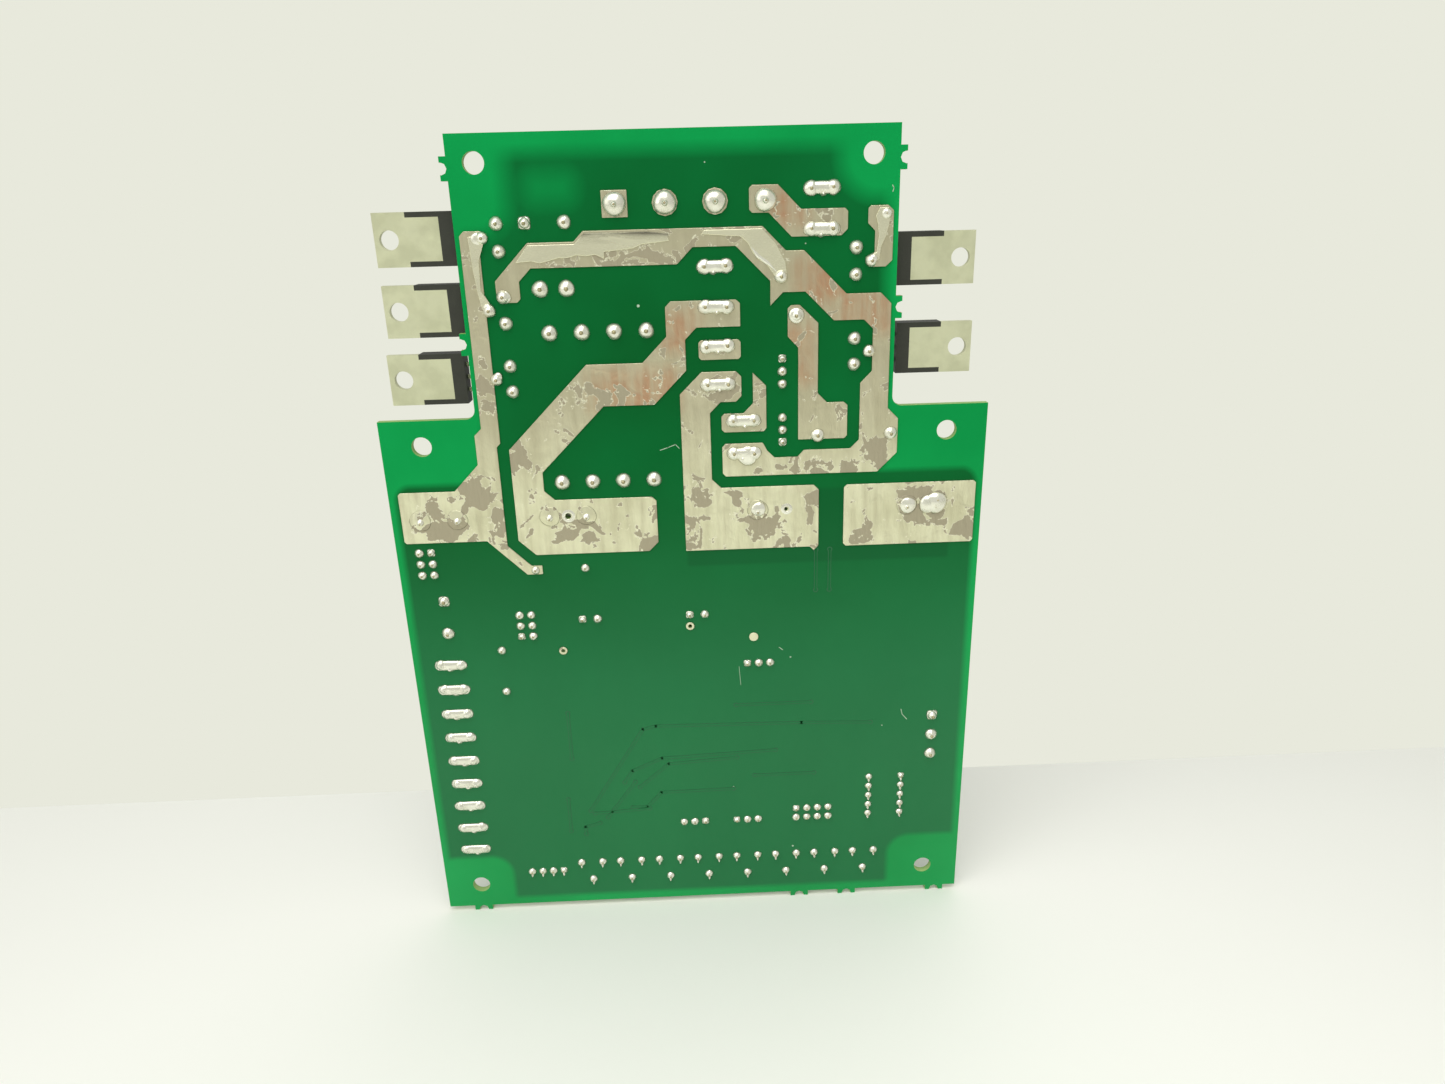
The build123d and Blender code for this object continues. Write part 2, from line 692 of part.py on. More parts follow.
# Transformer: a laminated core round a split former with two coils, on two pin ledges
def make_transformer():
    x, z = transformer_at
    core_w = 3 * core_leg
    core_l = 2.5 * core_leg
    window = core_leg / 2
    window_l = 1.5 * core_leg
    mid_depth = board_t + core_lift + core_stack / 2
    with BuildPart() as core:
        with BuildSketch(raised(core_lift)):
            with Locations((x, z)):
                Rectangle(core_w, core_l)
            with Locations(*[(x + side * (core_leg + window) / 2, z) for side in (-1, 1)]):
                Rectangle(window, window_l, mode=Mode.SUBTRACT)
        extrude(amount=-core_stack)
        corners = core.edges().filter_by(Axis.Y).group_by(Axis.X)
        chamfer(corners[0] + corners[-1], length=core_corner)
    save(core, "transformer_core")

    tube = (core_leg + 2 * core_gap + 2 * former_wall, core_stack + 2 * core_gap + 2 * former_wall)
    bore = (core_leg + 2 * core_gap, core_stack + 2 * core_gap)
    flange = (2 * core_leg - 2 * core_gap, tube[1] + 2 * coil_build + flange_lip)
    former_l = window_l - 2 * core_gap
    ledge_l = (transformer_row_gap - window_l) / 2 + ledge_margin
    ledge_w = (transformer_pins_a_row - 1) * transformer_pin_pitch + 4 * ledge_margin
    with BuildPart() as former:
        with BuildSketch(level(z)):
            with Locations((x, mid_depth)):
                Rectangle(*tube)
        extrude(amount=former_l / 2, both=True)
        for centre in (-former_l / 2 + flange_t / 2, 0, former_l / 2 - flange_t / 2):
            with BuildSketch(level(z + centre)):
                with Locations((x, mid_depth)):
                    Rectangle(*flange)
            extrude(amount=flange_t / 2, both=True)
        for side in (-1, 1):
            with BuildSketch(raised(ledge_lift)):
                with Locations((x, z + side * (former_l / 2 + ledge_l / 2 - flange_t / 2))):
                    Rectangle(ledge_w, ledge_l + flange_t)
            extrude(amount=-ledge_h)
        with BuildSketch(level(z)):
            with Locations((x, mid_depth)):
                Rectangle(*bore)
        extrude(amount=former_l, both=True, mode=Mode.SUBTRACT)
        with BuildSketch(raised(ledge_lift)):
            with Locations(*transformer_pins):
                Rectangle(transformer_pin, transformer_pin)
        extrude(amount=-ledge_h, mode=Mode.SUBTRACT)
    save(former, "transformer_former")

    coil_l = (former_l - 3 * flange_t) / 2
    with BuildPart() as coils:
        for side in (-1, 1):
            with BuildSketch(level(z + side * (flange_t + coil_l) / 2)) as turns:
                with Locations((x, mid_depth)):
                    Rectangle(tube[0] + 2 * coil_build, tube[1] + 2 * coil_build)
                chamfer(turns.vertices(), length=coil_corner)
                with Locations((x, mid_depth)):
                    Rectangle(*tube, mode=Mode.SUBTRACT)
            extrude(amount=coil_l / 2, both=True)
    save(coils, "transformer_coils")

# Fuses lie across the board in spring clips that hold their end caps
def fuse_axis(fuse_d):
    """Depth of a fuse's axis behind the solder face."""
    return board_t + fuse_d / 2 + clip_slack + clip_t * 1.5


def fuse_clip(at, fuse_d, length):
    x, z = at
    inner = fuse_d / 2 + clip_slack
    turn = 180 / clip_sides
    with BuildSketch(side_on(x)) as section:
        with Locations((fuse_axis(fuse_d), z)):
            RegularPolygon(inner + clip_t, clip_sides, major_radius=False, rotation=turn)
            RegularPolygon(inner, clip_sides, major_radius=False, rotation=turn, mode=Mode.SUBTRACT)
            with Locations((inner * clip_mouth, 0)):
                Rectangle(fuse_d, 2 * fuse_d, align=(Align.MIN, Align.CENTER), mode=Mode.SUBTRACT)
        with Locations((board_t, z)):
            Rectangle(clip_t, fuse_d * clip_foot, align=(Align.MIN, Align.CENTER))
    extrude(section.sketch, amount=length / 2, both=True)


def make_fuses():
    with BuildPart() as clips:
        for at in line_clips:
            fuse_clip(at, line_fuse_d, line_clip_l)
        for at in motor_clips:
            fuse_clip(at, motor_fuse_d, motor_clip_l)
    save(clips, "fuse_clips")

    line_z = line_fuse_mid[1]
    line_bare = line_fuse_l / 2 - line_fuse_cap_l
    with BuildPart() as glass:
        with BuildSketch(side_on(line_fuse_mid[0])):
            with Locations((fuse_axis(line_fuse_d), line_z)):
                Circle(line_fuse_d / 2 - fuse_rim)
                RegularPolygon(line_fuse_d / 2 - fuse_rim - fuse_wall, clip_sides, mode=Mode.SUBTRACT)
        extrude(amount=line_bare, both=True)
    save(glass, "line_fuse_glass")
    with BuildPart() as wire:
        with BuildSketch(side_on(line_fuse_mid[0])):
            with Locations((fuse_axis(line_fuse_d), line_z)):
                Rectangle(*fuse_wire)
        extrude(amount=line_bare, both=True)
    save(wire, "line_fuse_wire")
    with BuildPart() as tube:
        with BuildSketch(side_on(motor_fuse_mid[0])):
            with Locations((fuse_axis(motor_fuse_d), motor_fuse_mid[1])):
                Circle(motor_fuse_d / 2 - fuse_rim)
        extrude(amount=motor_fuse_l / 2 - motor_fuse_cap_l, both=True)
    save(tube, "motor_fuse_tube")

    fuses = ((line_fuse_mid, line_fuse_d, line_fuse_l, line_fuse_cap_l),
             (motor_fuse_mid, motor_fuse_d, motor_fuse_l, motor_fuse_cap_l))
    with BuildPart() as caps:
        for (x, z), d, long, cap_l in fuses:
            for side in (-1, 1):
                with BuildSketch(side_on(x + side * (long - cap_l) / 2)):
                    with Locations((fuse_axis(d), z)):
                        RegularPolygon(d / 2, 2 * clip_sides)
                extrude(amount=cap_l / 2, both=True)
    save(caps, "fuse_caps")


# Two-lead parts
def stand_leads(leads, width, height):
    with BuildSketch(raised(0)) as feet:
        with Locations(*leads):
            Rectangle(width, width)
    extrude(feet.sketch, amount=-height)


def make_surge_discs():
    radius = surge_d / 2
    with BuildPart() as discs:
        with BuildSketch(level(line_surge_leads[0][1])):
            with Locations((middle(line_surge_leads)[0], board_t + surge_lift + radius)):
                RegularPolygon(radius, round_sides)
        extrude(amount=surge_t / 2, both=True)
        with BuildSketch(side_on(middle(motor_surge_leads)[0])):
            with Locations((board_t + surge_lift + radius, middle(motor_surge_leads)[1])):
                RegularPolygon(radius, round_sides)
        extrude(amount=surge_t / 2, both=True)
    save(discs, "surge_discs")


def make_boxes():
    with BuildPart() as boxes:
        for leads, size in ((film_leads, film_size), (supply_leads, supply_size)):
            with BuildSketch(raised(0)):
                with Locations(middle(leads)):
                    Rectangle(size[0], size[1])
            extrude(amount=-size[2])
        chamfer(boxes.edges().filter_by(Axis.Y), length=box_bevel)
    save(boxes, "film_capacitors")


def make_cans():
    with BuildPart() as cans:
        with BuildSketch(raised(0)):
            with Locations(*[middle(leads) for leads in can_leads]):
                RegularPolygon(can_d / 2, round_sides)
        extrude(amount=-can_h)
        chamfer(cans.edges().group_by(Axis.Y)[-1], length=can_rim)
    save(cans, "electrolytic_cans")


def make_axial():
    """Two resistors and a diode that lie on their leads."""
    depth = board_t + axial_lift
    with BuildPart() as resistors:
        for leads, (d, long) in ((sense_leads, sense_size), (feed_leads, feed_size)):
            x, z = middle(leads)
            with BuildSketch(side_on(x)):
                with Locations((depth, z)):
                    Circle(d / 2)
            extrude(amount=long / 2, both=True)
    save(resistors, "axial_resistors")

    x, z = middle(diode_leads)
    with BuildPart() as diode:
        with BuildSketch(level(z)):
            with Locations((x, depth)):
                Circle(diode_size[0] / 2)
        extrude(amount=diode_size[1] / 2, both=True)
    save(diode, "diode")


def bent_lead(start, foot, depth):
    """Outline of a lead that runs out from a part lying down and turns down into the board."""
    half = lead / 2
    way = 1 if foot > start else -1
    return [(start, depth - half), (foot - way * half, depth - half), (foot - way * half, board_t),
            (foot + way * half, board_t), (foot + way * half, depth + half), (start, depth + half)]


def make_leads():
    """Leads that show between the parts and the board."""
    depth = board_t + axial_lift
    with BuildPart() as wires:
        for leads, long in ((sense_leads, sense_size[1]), (feed_leads, feed_size[1])):
            x, z = middle(leads)
            for side, foot in zip((-1, 1), leads):
                with BuildSketch(level(z)):
                    with BuildLine():
                        Polyline(*bent_lead(x + side * long / 2, foot[0], depth), close=True)
                    make_face()
                extrude(amount=lead / 2, both=True)
        x, z = middle(diode_leads)
        for side, foot in zip((-1, 1), diode_leads):
            with BuildSketch(side_on(x)):
                with BuildLine():
                    outline = bent_lead(z + side * diode_size[1] / 2, foot[1], depth)
                    Polyline(*[(deep, up) for up, deep in outline], close=True)
                make_face()
            extrude(amount=lead / 2, both=True)
        # The disc is round, so its leads meet it above its lowest point
        radius = surge_d / 2
        apart = abs(line_surge_leads[1][0] - line_surge_leads[0][0]) / 2 - lead / 2
        stand_leads([*line_surge_leads, *motor_surge_leads], lead,
                    surge_lift + radius - sqrt(radius ** 2 - apart ** 2))
        stand_leads(transformer_pins, transformer_pin, ledge_lift + ledge_h + pin_stub)
    save(wires, "part_leads")


# Pin headers with their posts, and the jumper caps pushed onto pairs of posts
def make_headers():
    with BuildPart() as strips:
        for x, z, across, up in headers.values():
            with BuildSketch(raised(0)):
                with Locations((x + (across - 1) * pitch / 2, z + (up - 1) * pitch / 2)):
                    Rectangle(across * pitch, up * pitch)
            extrude(amount=-strip_h)
    save(strips, "header_strips")

    with BuildPart() as posts:
        with BuildSketch(raised(strip_h)):
            with Locations(*[p for name in headers for p in header_points(name)]):
                Rectangle(post, post)
        extrude(amount=strip_h - post_h)
    save(posts, "header_posts")

    with BuildPart() as caps:
        for x, z, upright in jumpers:
            run = (0, pitch) if upright else (pitch, 0)
            size = (cap_w, cap_w + pitch) if upright else (cap_w + pitch, cap_w)
            with BuildSketch(raised(strip_h + cap_lift)):
                with Locations((x + run[0] / 2, z + run[1] / 2)):
                    Rectangle(*size)
                with Locations((x, z), (x + run[0], z + run[1])):
                    Rectangle(cap_bore, cap_bore, mode=Mode.SUBTRACT)
            extrude(amount=-cap_h)
    save(caps, "jumper_caps")


# Three-way screw terminal: wire mouths at the board's edge, screws in wells on top
def make_side_terminal():
    mid_up = side_low_up + (side_ways - 1) * side_pitch / 2
    face = side_across + side_depth / 2
    with BuildPart() as housing:
        with BuildSketch(raised(0)):
            with Locations((side_across, mid_up)):
                Rectangle(side_depth, side_ways * side_pitch + side_margin)
        extrude(amount=-side_h)
        chamfer(housing.edges().filter_by(Axis.Z).group_by(Axis.Y)[-1], length=side_bevel)
        with BuildSketch(side_on(face)):
            mouth_depth = board_t + side_mouth_lift + side_mouth[1] / 2
            with Locations(*[(mouth_depth, up) for across, up in side_pins]):
                Rectangle(side_mouth[1], side_mouth[0])
        extrude(amount=-side_mouth_deep, mode=Mode.SUBTRACT)
        with BuildSketch(raised(side_h)):
            with Locations(*side_pins):
                RegularPolygon(side_screw_d / 2 + side_screw_slack, side_screw_sides)
        extrude(amount=side_well_deep, mode=Mode.SUBTRACT)
    save(housing, "side_terminal")

    with BuildPart() as screws:
        with BuildSketch(raised(side_h - side_well_deep)):
            with Locations(*side_pins):
                RegularPolygon(side_screw_d / 2, side_screw_sides)
        extrude(amount=-side_screw_h)
        with BuildSketch(raised(side_h - side_well_deep + side_screw_h)):
            with Locations(*side_pins):
                Rectangle(side_screw_d + 1, side_slot[0])
        extrude(amount=side_slot[1], mode=Mode.SUBTRACT)
    save(screws, "side_terminal_screws")


# Slide switch: a case with a track for each slider
def make_switch():
    x = switch_at[0]
    tracks = [(x, up) for up in switch_ups]
    with BuildPart() as case:
        with BuildSketch(raised(0)):
            with Locations(switch_at):
                Rectangle(switch_w, switch_ways * pitch + switch_margin)
        extrude(amount=-switch_h)
        chamfer(case.edges().filter_by(Axis.Z).group_by(Axis.Y)[-1], length=switch_bevel)
        with BuildSketch(raised(switch_h)):
            with Locations(*tracks):
                Rectangle(track_l, track_w)
        extrude(amount=track_deep, mode=Mode.SUBTRACT)
    save(case, "switch_case")

    floor = switch_h - track_deep + slider_slack
    rest = x - (track_l - slider_l) / 2 + slider_slack
    for i, (across, up) in enumerate(tracks):
        with BuildPart() as slider:
            with BuildSketch(raised(floor)):
                with Locations((rest, up)):
                    Rectangle(slider_l, track_w - 2 * slider_slack)
            extrude(amount=-(track_deep - slider_slack + slider_top))
            chamfer(slider.faces().sort_by(Axis.Y)[-1].edges(), length=slider_bevel)
        save(slider, f"switch_slider_{i + 1}")


# Trimmers: a cup on three legs with a slotted rotor in it
def make_trimmers():
    with BuildPart() as cups:
        for x in trimmers_across:
            with BuildSketch(raised(0)) as cup:
                with Locations((x, trimmer_mid_up)):
                    Rectangle(trimmer_w, trimmer_w)
                chamfer(cup.vertices(), length=trimmer_corner)
            extrude(amount=-trimmer_h)
            with BuildSketch(raised(trimmer_floor)):
                with Locations((x, trimmer_mid_up)):
                    RegularPolygon(rotor_d / 2 + rotor_slack, rotor_sides, major_radius=False)
            extrude(amount=-trimmer_h, mode=Mode.SUBTRACT)
    save(cups, "trimmer_cups")

    base = trimmer_floor + rotor_foot_gap
    rotor_h = trimmer_h - trimmer_floor - rotor_foot_gap + rotor_top
    for i, x in enumerate(trimmers_across):
        with BuildPart() as rotor:
            with BuildSketch(raised(base)):
                with Locations((x, trimmer_mid_up)):
                    RegularPolygon(rotor_d / 2, rotor_sides)
            extrude(amount=-rotor_h)
            with BuildSketch(raised(base + rotor_h)):
                with Locations((x, trimmer_mid_up)):
                    Rectangle(rotor_slot, rotor_d * rotor_slot_long)
            extrude(amount=rotor_slot_deep, mode=Mode.SUBTRACT)
        save(rotor, f"trimmer_rotor_{i + 1}")


# Surface parts on the component side
def make_surface_parts():
    with BuildPart() as bodies:
        for x, z, pins in chips:
            with BuildSketch(raised(chip_lift)):
                with Locations((x, z)):
                    Rectangle(pins * chip_pitch + 2 * chip_end, chip_body_w)
            extrude(amount=-chip_h)
        chamfer(bodies.edges().filter_by(Axis.X).group_by(Axis.Y)[-1], length=chip_bevel)
    save(bodies, "chip_bodies")

    overhang = (chip_reach - chip_body_w) / 2
    with BuildPart() as legs:
        for x, z, pins in chips:
            places = [(x + (i - (pins - 1) / 2) * chip_pitch, z + side * (chip_body_w + overhang) / 2)
                      for i in range(pins) for side in (-1, 1)]
            with BuildSketch(raised(0)):
                with Locations(*places):
                    Rectangle(chip_leg[0], overhang)
            extrude(amount=-chip_leg[1])
    save(legs, "chip_legs")

    long, wide, high = two_ended
    places = [(x + i * two_ended_gap, z) for x, z, count in two_ended_rows for i in range(count)]
    with BuildPart() as middles:
        with BuildSketch(raised(0)):
            with Locations(*places):
                Rectangle(long - 2 * two_ended_cap, wide)
        extrude(amount=-high)
    save(middles, "small_part_bodies")
    with BuildPart() as ends:
        shift = (long - two_ended_cap) / 2
        with BuildSketch(raised(0)):
            with Locations(*[(x + side * shift, z) for x, z in places for side in (-1, 1)]):
                Rectangle(two_ended_cap, wide)
        extrude(amount=-high)
    save(ends, "small_part_ends")


make_board()
make_pours()
make_pads()
make_pin_joints()
make_wide_joints()
make_heavy_joints()
for side, up, push, name in devices:
    make_device(side, up, push, name)
make_tabs()
make_strip()
make_transformer()
make_fuses()
make_surge_discs()
make_boxes()
make_cans()
make_axial()
make_leads()
make_headers()
make_side_terminal()
make_switch()
make_trimmers()
make_surface_parts()
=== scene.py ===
# %% [markdown]
# A motor speed control board, seen from its solder side
# The board stands upright with its solder face to the front, and its parts are on the far side.
# A CAD model gives every size and place, so this script reads them from the frame and adds what
# a drawing leaves out: solder, solder mask, the laminate's cut edge and the marks of handling.
# Lengths are in metres, Y = 0 is the solder face and +Y runs back through the board.

# %% Frame
import bpy
import bmesh
import math
import random
from mathutils import Matrix, Vector


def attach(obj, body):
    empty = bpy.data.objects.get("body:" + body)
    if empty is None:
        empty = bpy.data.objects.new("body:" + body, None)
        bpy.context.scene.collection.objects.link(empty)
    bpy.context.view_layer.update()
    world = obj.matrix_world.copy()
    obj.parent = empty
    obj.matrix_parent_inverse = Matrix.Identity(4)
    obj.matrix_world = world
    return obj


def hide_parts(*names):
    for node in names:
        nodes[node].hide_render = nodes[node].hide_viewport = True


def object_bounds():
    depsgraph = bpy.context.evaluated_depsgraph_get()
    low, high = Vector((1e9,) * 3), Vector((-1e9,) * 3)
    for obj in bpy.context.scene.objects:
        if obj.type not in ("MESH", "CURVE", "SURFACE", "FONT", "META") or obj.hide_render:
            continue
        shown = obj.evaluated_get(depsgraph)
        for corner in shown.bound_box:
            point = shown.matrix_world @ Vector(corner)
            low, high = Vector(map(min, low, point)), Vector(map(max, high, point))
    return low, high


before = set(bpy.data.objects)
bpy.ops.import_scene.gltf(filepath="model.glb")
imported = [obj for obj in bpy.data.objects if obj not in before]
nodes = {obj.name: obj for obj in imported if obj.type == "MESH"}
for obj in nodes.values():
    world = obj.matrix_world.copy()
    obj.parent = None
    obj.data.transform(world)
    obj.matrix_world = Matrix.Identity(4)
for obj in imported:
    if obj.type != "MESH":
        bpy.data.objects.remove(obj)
MM = 0.001
cad_box = [list(corner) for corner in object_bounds()]

# %% [markdown]
# Colours are written as sRGB hex values, as a colour picker shows them, and a shader wants linear
# ones. One function turns them. Another adds a node to a material with its settings and its
# links, so that each material below reads as a short list of steps.

# %% Colours and nodes
def linear(hex_value):
    """Linear red, green, blue and alpha of an sRGB hex colour."""
    parts = [int(hex_value[i:i + 2], 16) / 255 for i in (1, 3, 5)]
    return [c / 12.92 if c <= 0.04045 else ((c + 0.055) / 1.055) ** 2.4 for c in parts] + [1.0]


def node(material, kind, links=None, values=None, **settings):
    """Adds a node. Settings are its options or its inputs by name, values its inputs by number,
    and links its wired inputs."""
    made = material.node_tree.nodes.new(kind)
    for number, value in (values or {}).items():
        made.inputs[number].default_value = value
    for name, value in settings.items():
        if hasattr(made, name):
            setattr(made, name, value)
        else:
            made.inputs[name.replace("_", " ")].default_value = value
    for name, source in (links or {}).items():
        material.node_tree.links.new(source, made.inputs[name])
    return made


def surface(name, base, metallic=0.0, roughness=0.5, **settings):
    """A material with a Principled shader, and its object coordinates in metres."""
    material = bpy.data.materials.new(name)
    material.use_nodes = True
    material.node_tree.nodes.clear()
    shader = node(material, "ShaderNodeBsdfPrincipled", Base_Color=linear(base), Metallic=metallic,
                  Roughness=roughness, **settings)
    node(material, "ShaderNodeOutputMaterial", {"Surface": shader.outputs["BSDF"]})
    place = node(material, "ShaderNodeTexCoord").outputs["Object"]
    return material, shader, place


def grain(material, place, size_mm, detail=2.0, distortion=0.0, stretch=(1, 1, 1)):
    """Noise whose spots are about size_mm wide, or longer where stretch is above one."""
    spots = node(material, "ShaderNodeMapping", {"Vector": place}, Scale=[1 / s for s in stretch])
    return node(material, "ShaderNodeTexNoise", {"Vector": spots.outputs["Vector"]},
                Scale=0.5 / (size_mm * MM), Detail=detail, Distortion=distortion).outputs["Fac"]


def levels(material, value, low, high, to_low=0.0, to_high=1.0):
    """Stretches a value between two levels."""
    return node(material, "ShaderNodeMapRange", {"Value": value}, **{
        "From_Min": low, "From_Max": high, "To_Min": to_low, "To_Max": to_high}).outputs["Result"]


def blend(material, share, first, second):
    """Mixes two colours. Either is a hex value or an output."""
    mix = node(material, "ShaderNodeMix", data_type="RGBA")
    material.node_tree.links.new(share, mix.inputs["Factor"])
    for socket, colour in ((mix.inputs[6], first), (mix.inputs[7], second)):
        if isinstance(colour, str):
            socket.default_value = linear(colour)
        else:
            material.node_tree.links.new(colour, socket)
    return mix.outputs[2]


def feed(material, shader, socket, output):
    material.node_tree.links.new(output, shader.inputs[socket])


def relief(material, shader, height, depth_mm):
    """Bumps the surface by depth_mm where the height goes from zero to one."""
    bump = node(material, "ShaderNodeBump", {"Height": height}, Strength=1.0, Distance=depth_mm * MM)
    feed(material, shader, "Normal", bump.outputs["Normal"])


# %% [markdown]
# The photograph shows a white table that meets a white wall close behind the board. A plain
# table top that ends there gives the same line, and leaves the back free to be looked at.
# The background's paleness comes from its own colour where the camera sees it, directly or
# through glass, so it adds no light to the board. Reflections and light come from a dimmer room.

# %% Table and surroundings
floor_z = cad_box[0][2]
table_depth, table_side, table_back = 1.6, 1.8, 52 * MM

mesh = bpy.data.meshes.new("table_top")
mesh.from_pydata([(-table_side, -table_depth, floor_z), (table_side, -table_depth, floor_z),
                  (table_side, table_back, floor_z), (-table_side, table_back, floor_z)], [], [(0, 1, 2, 3)])
table = bpy.data.objects.new("table_top", mesh)
bpy.context.scene.collection.objects.link(table)

painted, shader, place = surface("painted_table_matt", "#F0F1EA", roughness=0.55)
feed(painted, shader, "Base Color", blend(painted, grain(painted, place, 60, 3), "#EEEFE8", "#F2F3EC"))
mesh.materials.append(painted)

world = bpy.data.worlds.new("white_room")
bpy.context.scene.world = world
world.use_nodes = True
world.node_tree.nodes.clear()
rays = node(world, "ShaderNodeLightPath")
straight, through = rays.outputs["Is Camera Ray"], rays.outputs["Is Transmission Ray"]
seen = node(world, "ShaderNodeMath", {0: straight, 1: through}, operation="MAXIMUM")
wall = node(world, "ShaderNodeBackground", Color=linear("#E8E9DC"), Strength=1.0)
room = node(world, "ShaderNodeBackground", Color=linear("#F4F4EE"), Strength=0.66)
which = node(world, "ShaderNodeMixShader", {0: seen.outputs[0], 1: room.outputs[0], 2: wall.outputs[0]})
node(world, "ShaderNodeOutputWorld", {"Surface": which.outputs[0]})

# %% [markdown]
# The light in the photograph is soft and comes from above and in front, with some from the side.
# Large area lamps give soft edges. A weak one shines down on the table in front of the board, and
# one behind lights the component side. The camera's place and its directions are the photograph's.

# %% Lamps and camera
def lamp(name, place, target, size, power, spread=180):
    data = bpy.data.lights.new(name, "AREA")
    data.shape, data.size, data.size_y, data.energy = "RECTANGLE", size[0], size[1], power
    data.spread = math.radians(spread)
    made = bpy.data.objects.new(name, data)
    bpy.context.scene.collection.objects.link(made)
    made.location = place
    made.rotation_mode = "QUATERNION"
    made.rotation_quaternion = (Vector(target) - Vector(place)).to_track_quat("-Z", "Y")


lamp("window_above", (-0.15, -0.45, 0.75), (0, 0, 0.02), (0.9, 0.5), 3.0)
lamp("side_soft", (-0.7, -0.35, 0.35), (0, 0, 0.03), (0.5, 0.6), 0.9)
lamp("table_fill", (0.02, -0.17, 0.5), (0.02, -0.17, -0.06), (0.3, 0.16), 0.13, 60)
lamp("back_soft", (0.3, 0.6, 0.9), (0, 0.02, 0.03), (0.8, 0.8), 1.0)

camera_data = bpy.data.cameras.new("camera")
camera = bpy.data.objects.new("camera", camera_data)
bpy.context.scene.collection.objects.link(camera)
bpy.context.scene.camera = camera
camera_place = (0.001903, -0.18941, 0.1000)
looks = Vector((0.02498, 0.94041, -0.33913)).normalized()
above = Vector((0.03612, 0.33816, 0.94039))
sideways = looks.cross(above).normalized()
above = sideways.cross(looks)
camera.matrix_world = Matrix((
    (sideways.x, above.x, -looks.x, camera_place[0]),
    (sideways.y, above.y, -looks.y, camera_place[1]),
    (sideways.z, above.z, -looks.z, camera_place[2]),
    (0, 0, 0, 1)))
camera_data.sensor_width, camera_data.lens = 36.0, 23.45
camera_data.clip_start, camera_data.clip_end = 0.005, 20.0
bpy.context.scene.view_settings.view_transform = "Standard"
print("camera and lamps placed, floor at", round(floor_z, 5))

# %% [markdown]
# The frame's meshes come with their corners split. To find each solder joint or pour again, its
# corners are welded and the mesh is taken apart into islands, one for each solid.

# %% Islands
def welded(name):
    """A CAD node's mesh with its corners joined."""
    work = bmesh.new()
    work.from_mesh(nodes[name].data)
    bmesh.ops.remove_doubles(work, verts=work.verts, dist=1e-6)
    return work


def islands(name):
    """The corners of each separate solid of a CAD node, in the order of its mesh."""
    work = welded(name)
    seen, found = set(), []
    for first in work.verts:
        if first in seen:
            continue
        seen.add(first)
        stack, group = [first], []
        while stack:
            vert = stack.pop()
            group.append(vert.co.copy())
            for edge in vert.link_edges:
                other = edge.other_vert(vert)
                if other not in seen:
                    seen.add(other)
                    stack.append(other)
        found.append(group)
    work.free()
    return found


def span(points):
    low = Vector([min(p[i] for p in points) for i in range(3)])
    high = Vector([max(p[i] for p in points) for i in range(3)])
    return low, high


def piece(name, work, materials, body="board", stands_for=(), smooth=True):
    """Turns a bmesh into a piece that moves with a body."""
    data = bpy.data.meshes.new(name)
    bmesh.ops.recalc_face_normals(work, faces=work.faces)
    for face in work.faces:
        face.smooth = smooth
    work.to_mesh(data)
    work.free()
    made = bpy.data.objects.new(name, data)
    bpy.context.scene.collection.objects.link(made)
    for material in materials:
        data.materials.append(material)
    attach(made, body)
    if stands_for:
        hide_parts(*stands_for)
    return made


def soften(made, width_mm, segments=2, angle=35):
    """Rounds the sharp edges of a piece, as moulding, plating or stamping does."""
    bevel = made.modifiers.new("rounded_edges", "BEVEL")
    bevel.width, bevel.segments, bevel.limit_method = width_mm * MM, segments, "ANGLE"
    bevel.angle_limit, bevel.harden_normals = math.radians(angle), True
    bevel.use_clamp_overlap = True


# %% [markdown]
# The board is glass cloth in epoxy, 1.6 mm thick, under a green solder mask. Where no copper lies
# under the mask, light goes into the laminate and comes back a clear bright green. Over copper it
# is darker. The copper's edge is soft to the eye, because light spreads inside the laminate, so
# it is drawn as rounded shapes with soft edges, and round shapes keep it clear of the holes.

# %% Where copper lies under the mask
stub_reach = 1.3
board_foot = -cad_box[0][2] / MM - stub_reach


def at(across, up):
    """A place on the board, in metres, from millimetres across and up."""
    return across * MM, (up - board_foot) * MM


def vectors(material, operation, first, second):
    """One step of vector arithmetic with a fixed second vector."""
    return node(material, "ShaderNodeVectorMath", {0: first}, {1: second}, operation=operation)


def distance_from(material, place, centre, half_mm=(0, 0)):
    """Distance in millimetres from a rectangle round a centre, along the board's face."""
    x, z = at(*centre)
    centred = vectors(material, "SUBTRACT", place, (x, 0, z)).outputs[0]
    on_face = vectors(material, "MULTIPLY", centred, (1000, 0, 1000)).outputs[0]
    folded = node(material, "ShaderNodeVectorMath", {0: on_face}, operation="ABSOLUTE").outputs[0]
    over = vectors(material, "SUBTRACT", folded, (half_mm[0], 0, half_mm[1])).outputs[0]
    outside = vectors(material, "MAXIMUM", over, (0, 0, 0)).outputs[0]
    return node(material, "ShaderNodeVectorMath", {0: outside}, operation="LENGTH").outputs["Value"]


def times(material, first, second, operation="MULTIPLY"):
    return node(material, "ShaderNodeMath", {0: first, 1: second}, operation=operation).outputs[0]


planes = [((0, 133.0), (36.4, 33.4), 4.0, 1.7), ((0, 54.6), (57.4, 49.2), 3.4, 0.7)]
clear_places = [((-39.5, 166.0), (1, 4), 6.5, 2.4), ((39.5, 169.5), (1, 1), 7.5, 2.0),
                ((-23.6, 164.2), (2.4, 0.6), 0.6, 4.0), ((-55.0, 3.0), (4, 6), 5.2, 0.7),
                ((55.0, 3.0), (4.6, 7), 5.4, 0.7)]


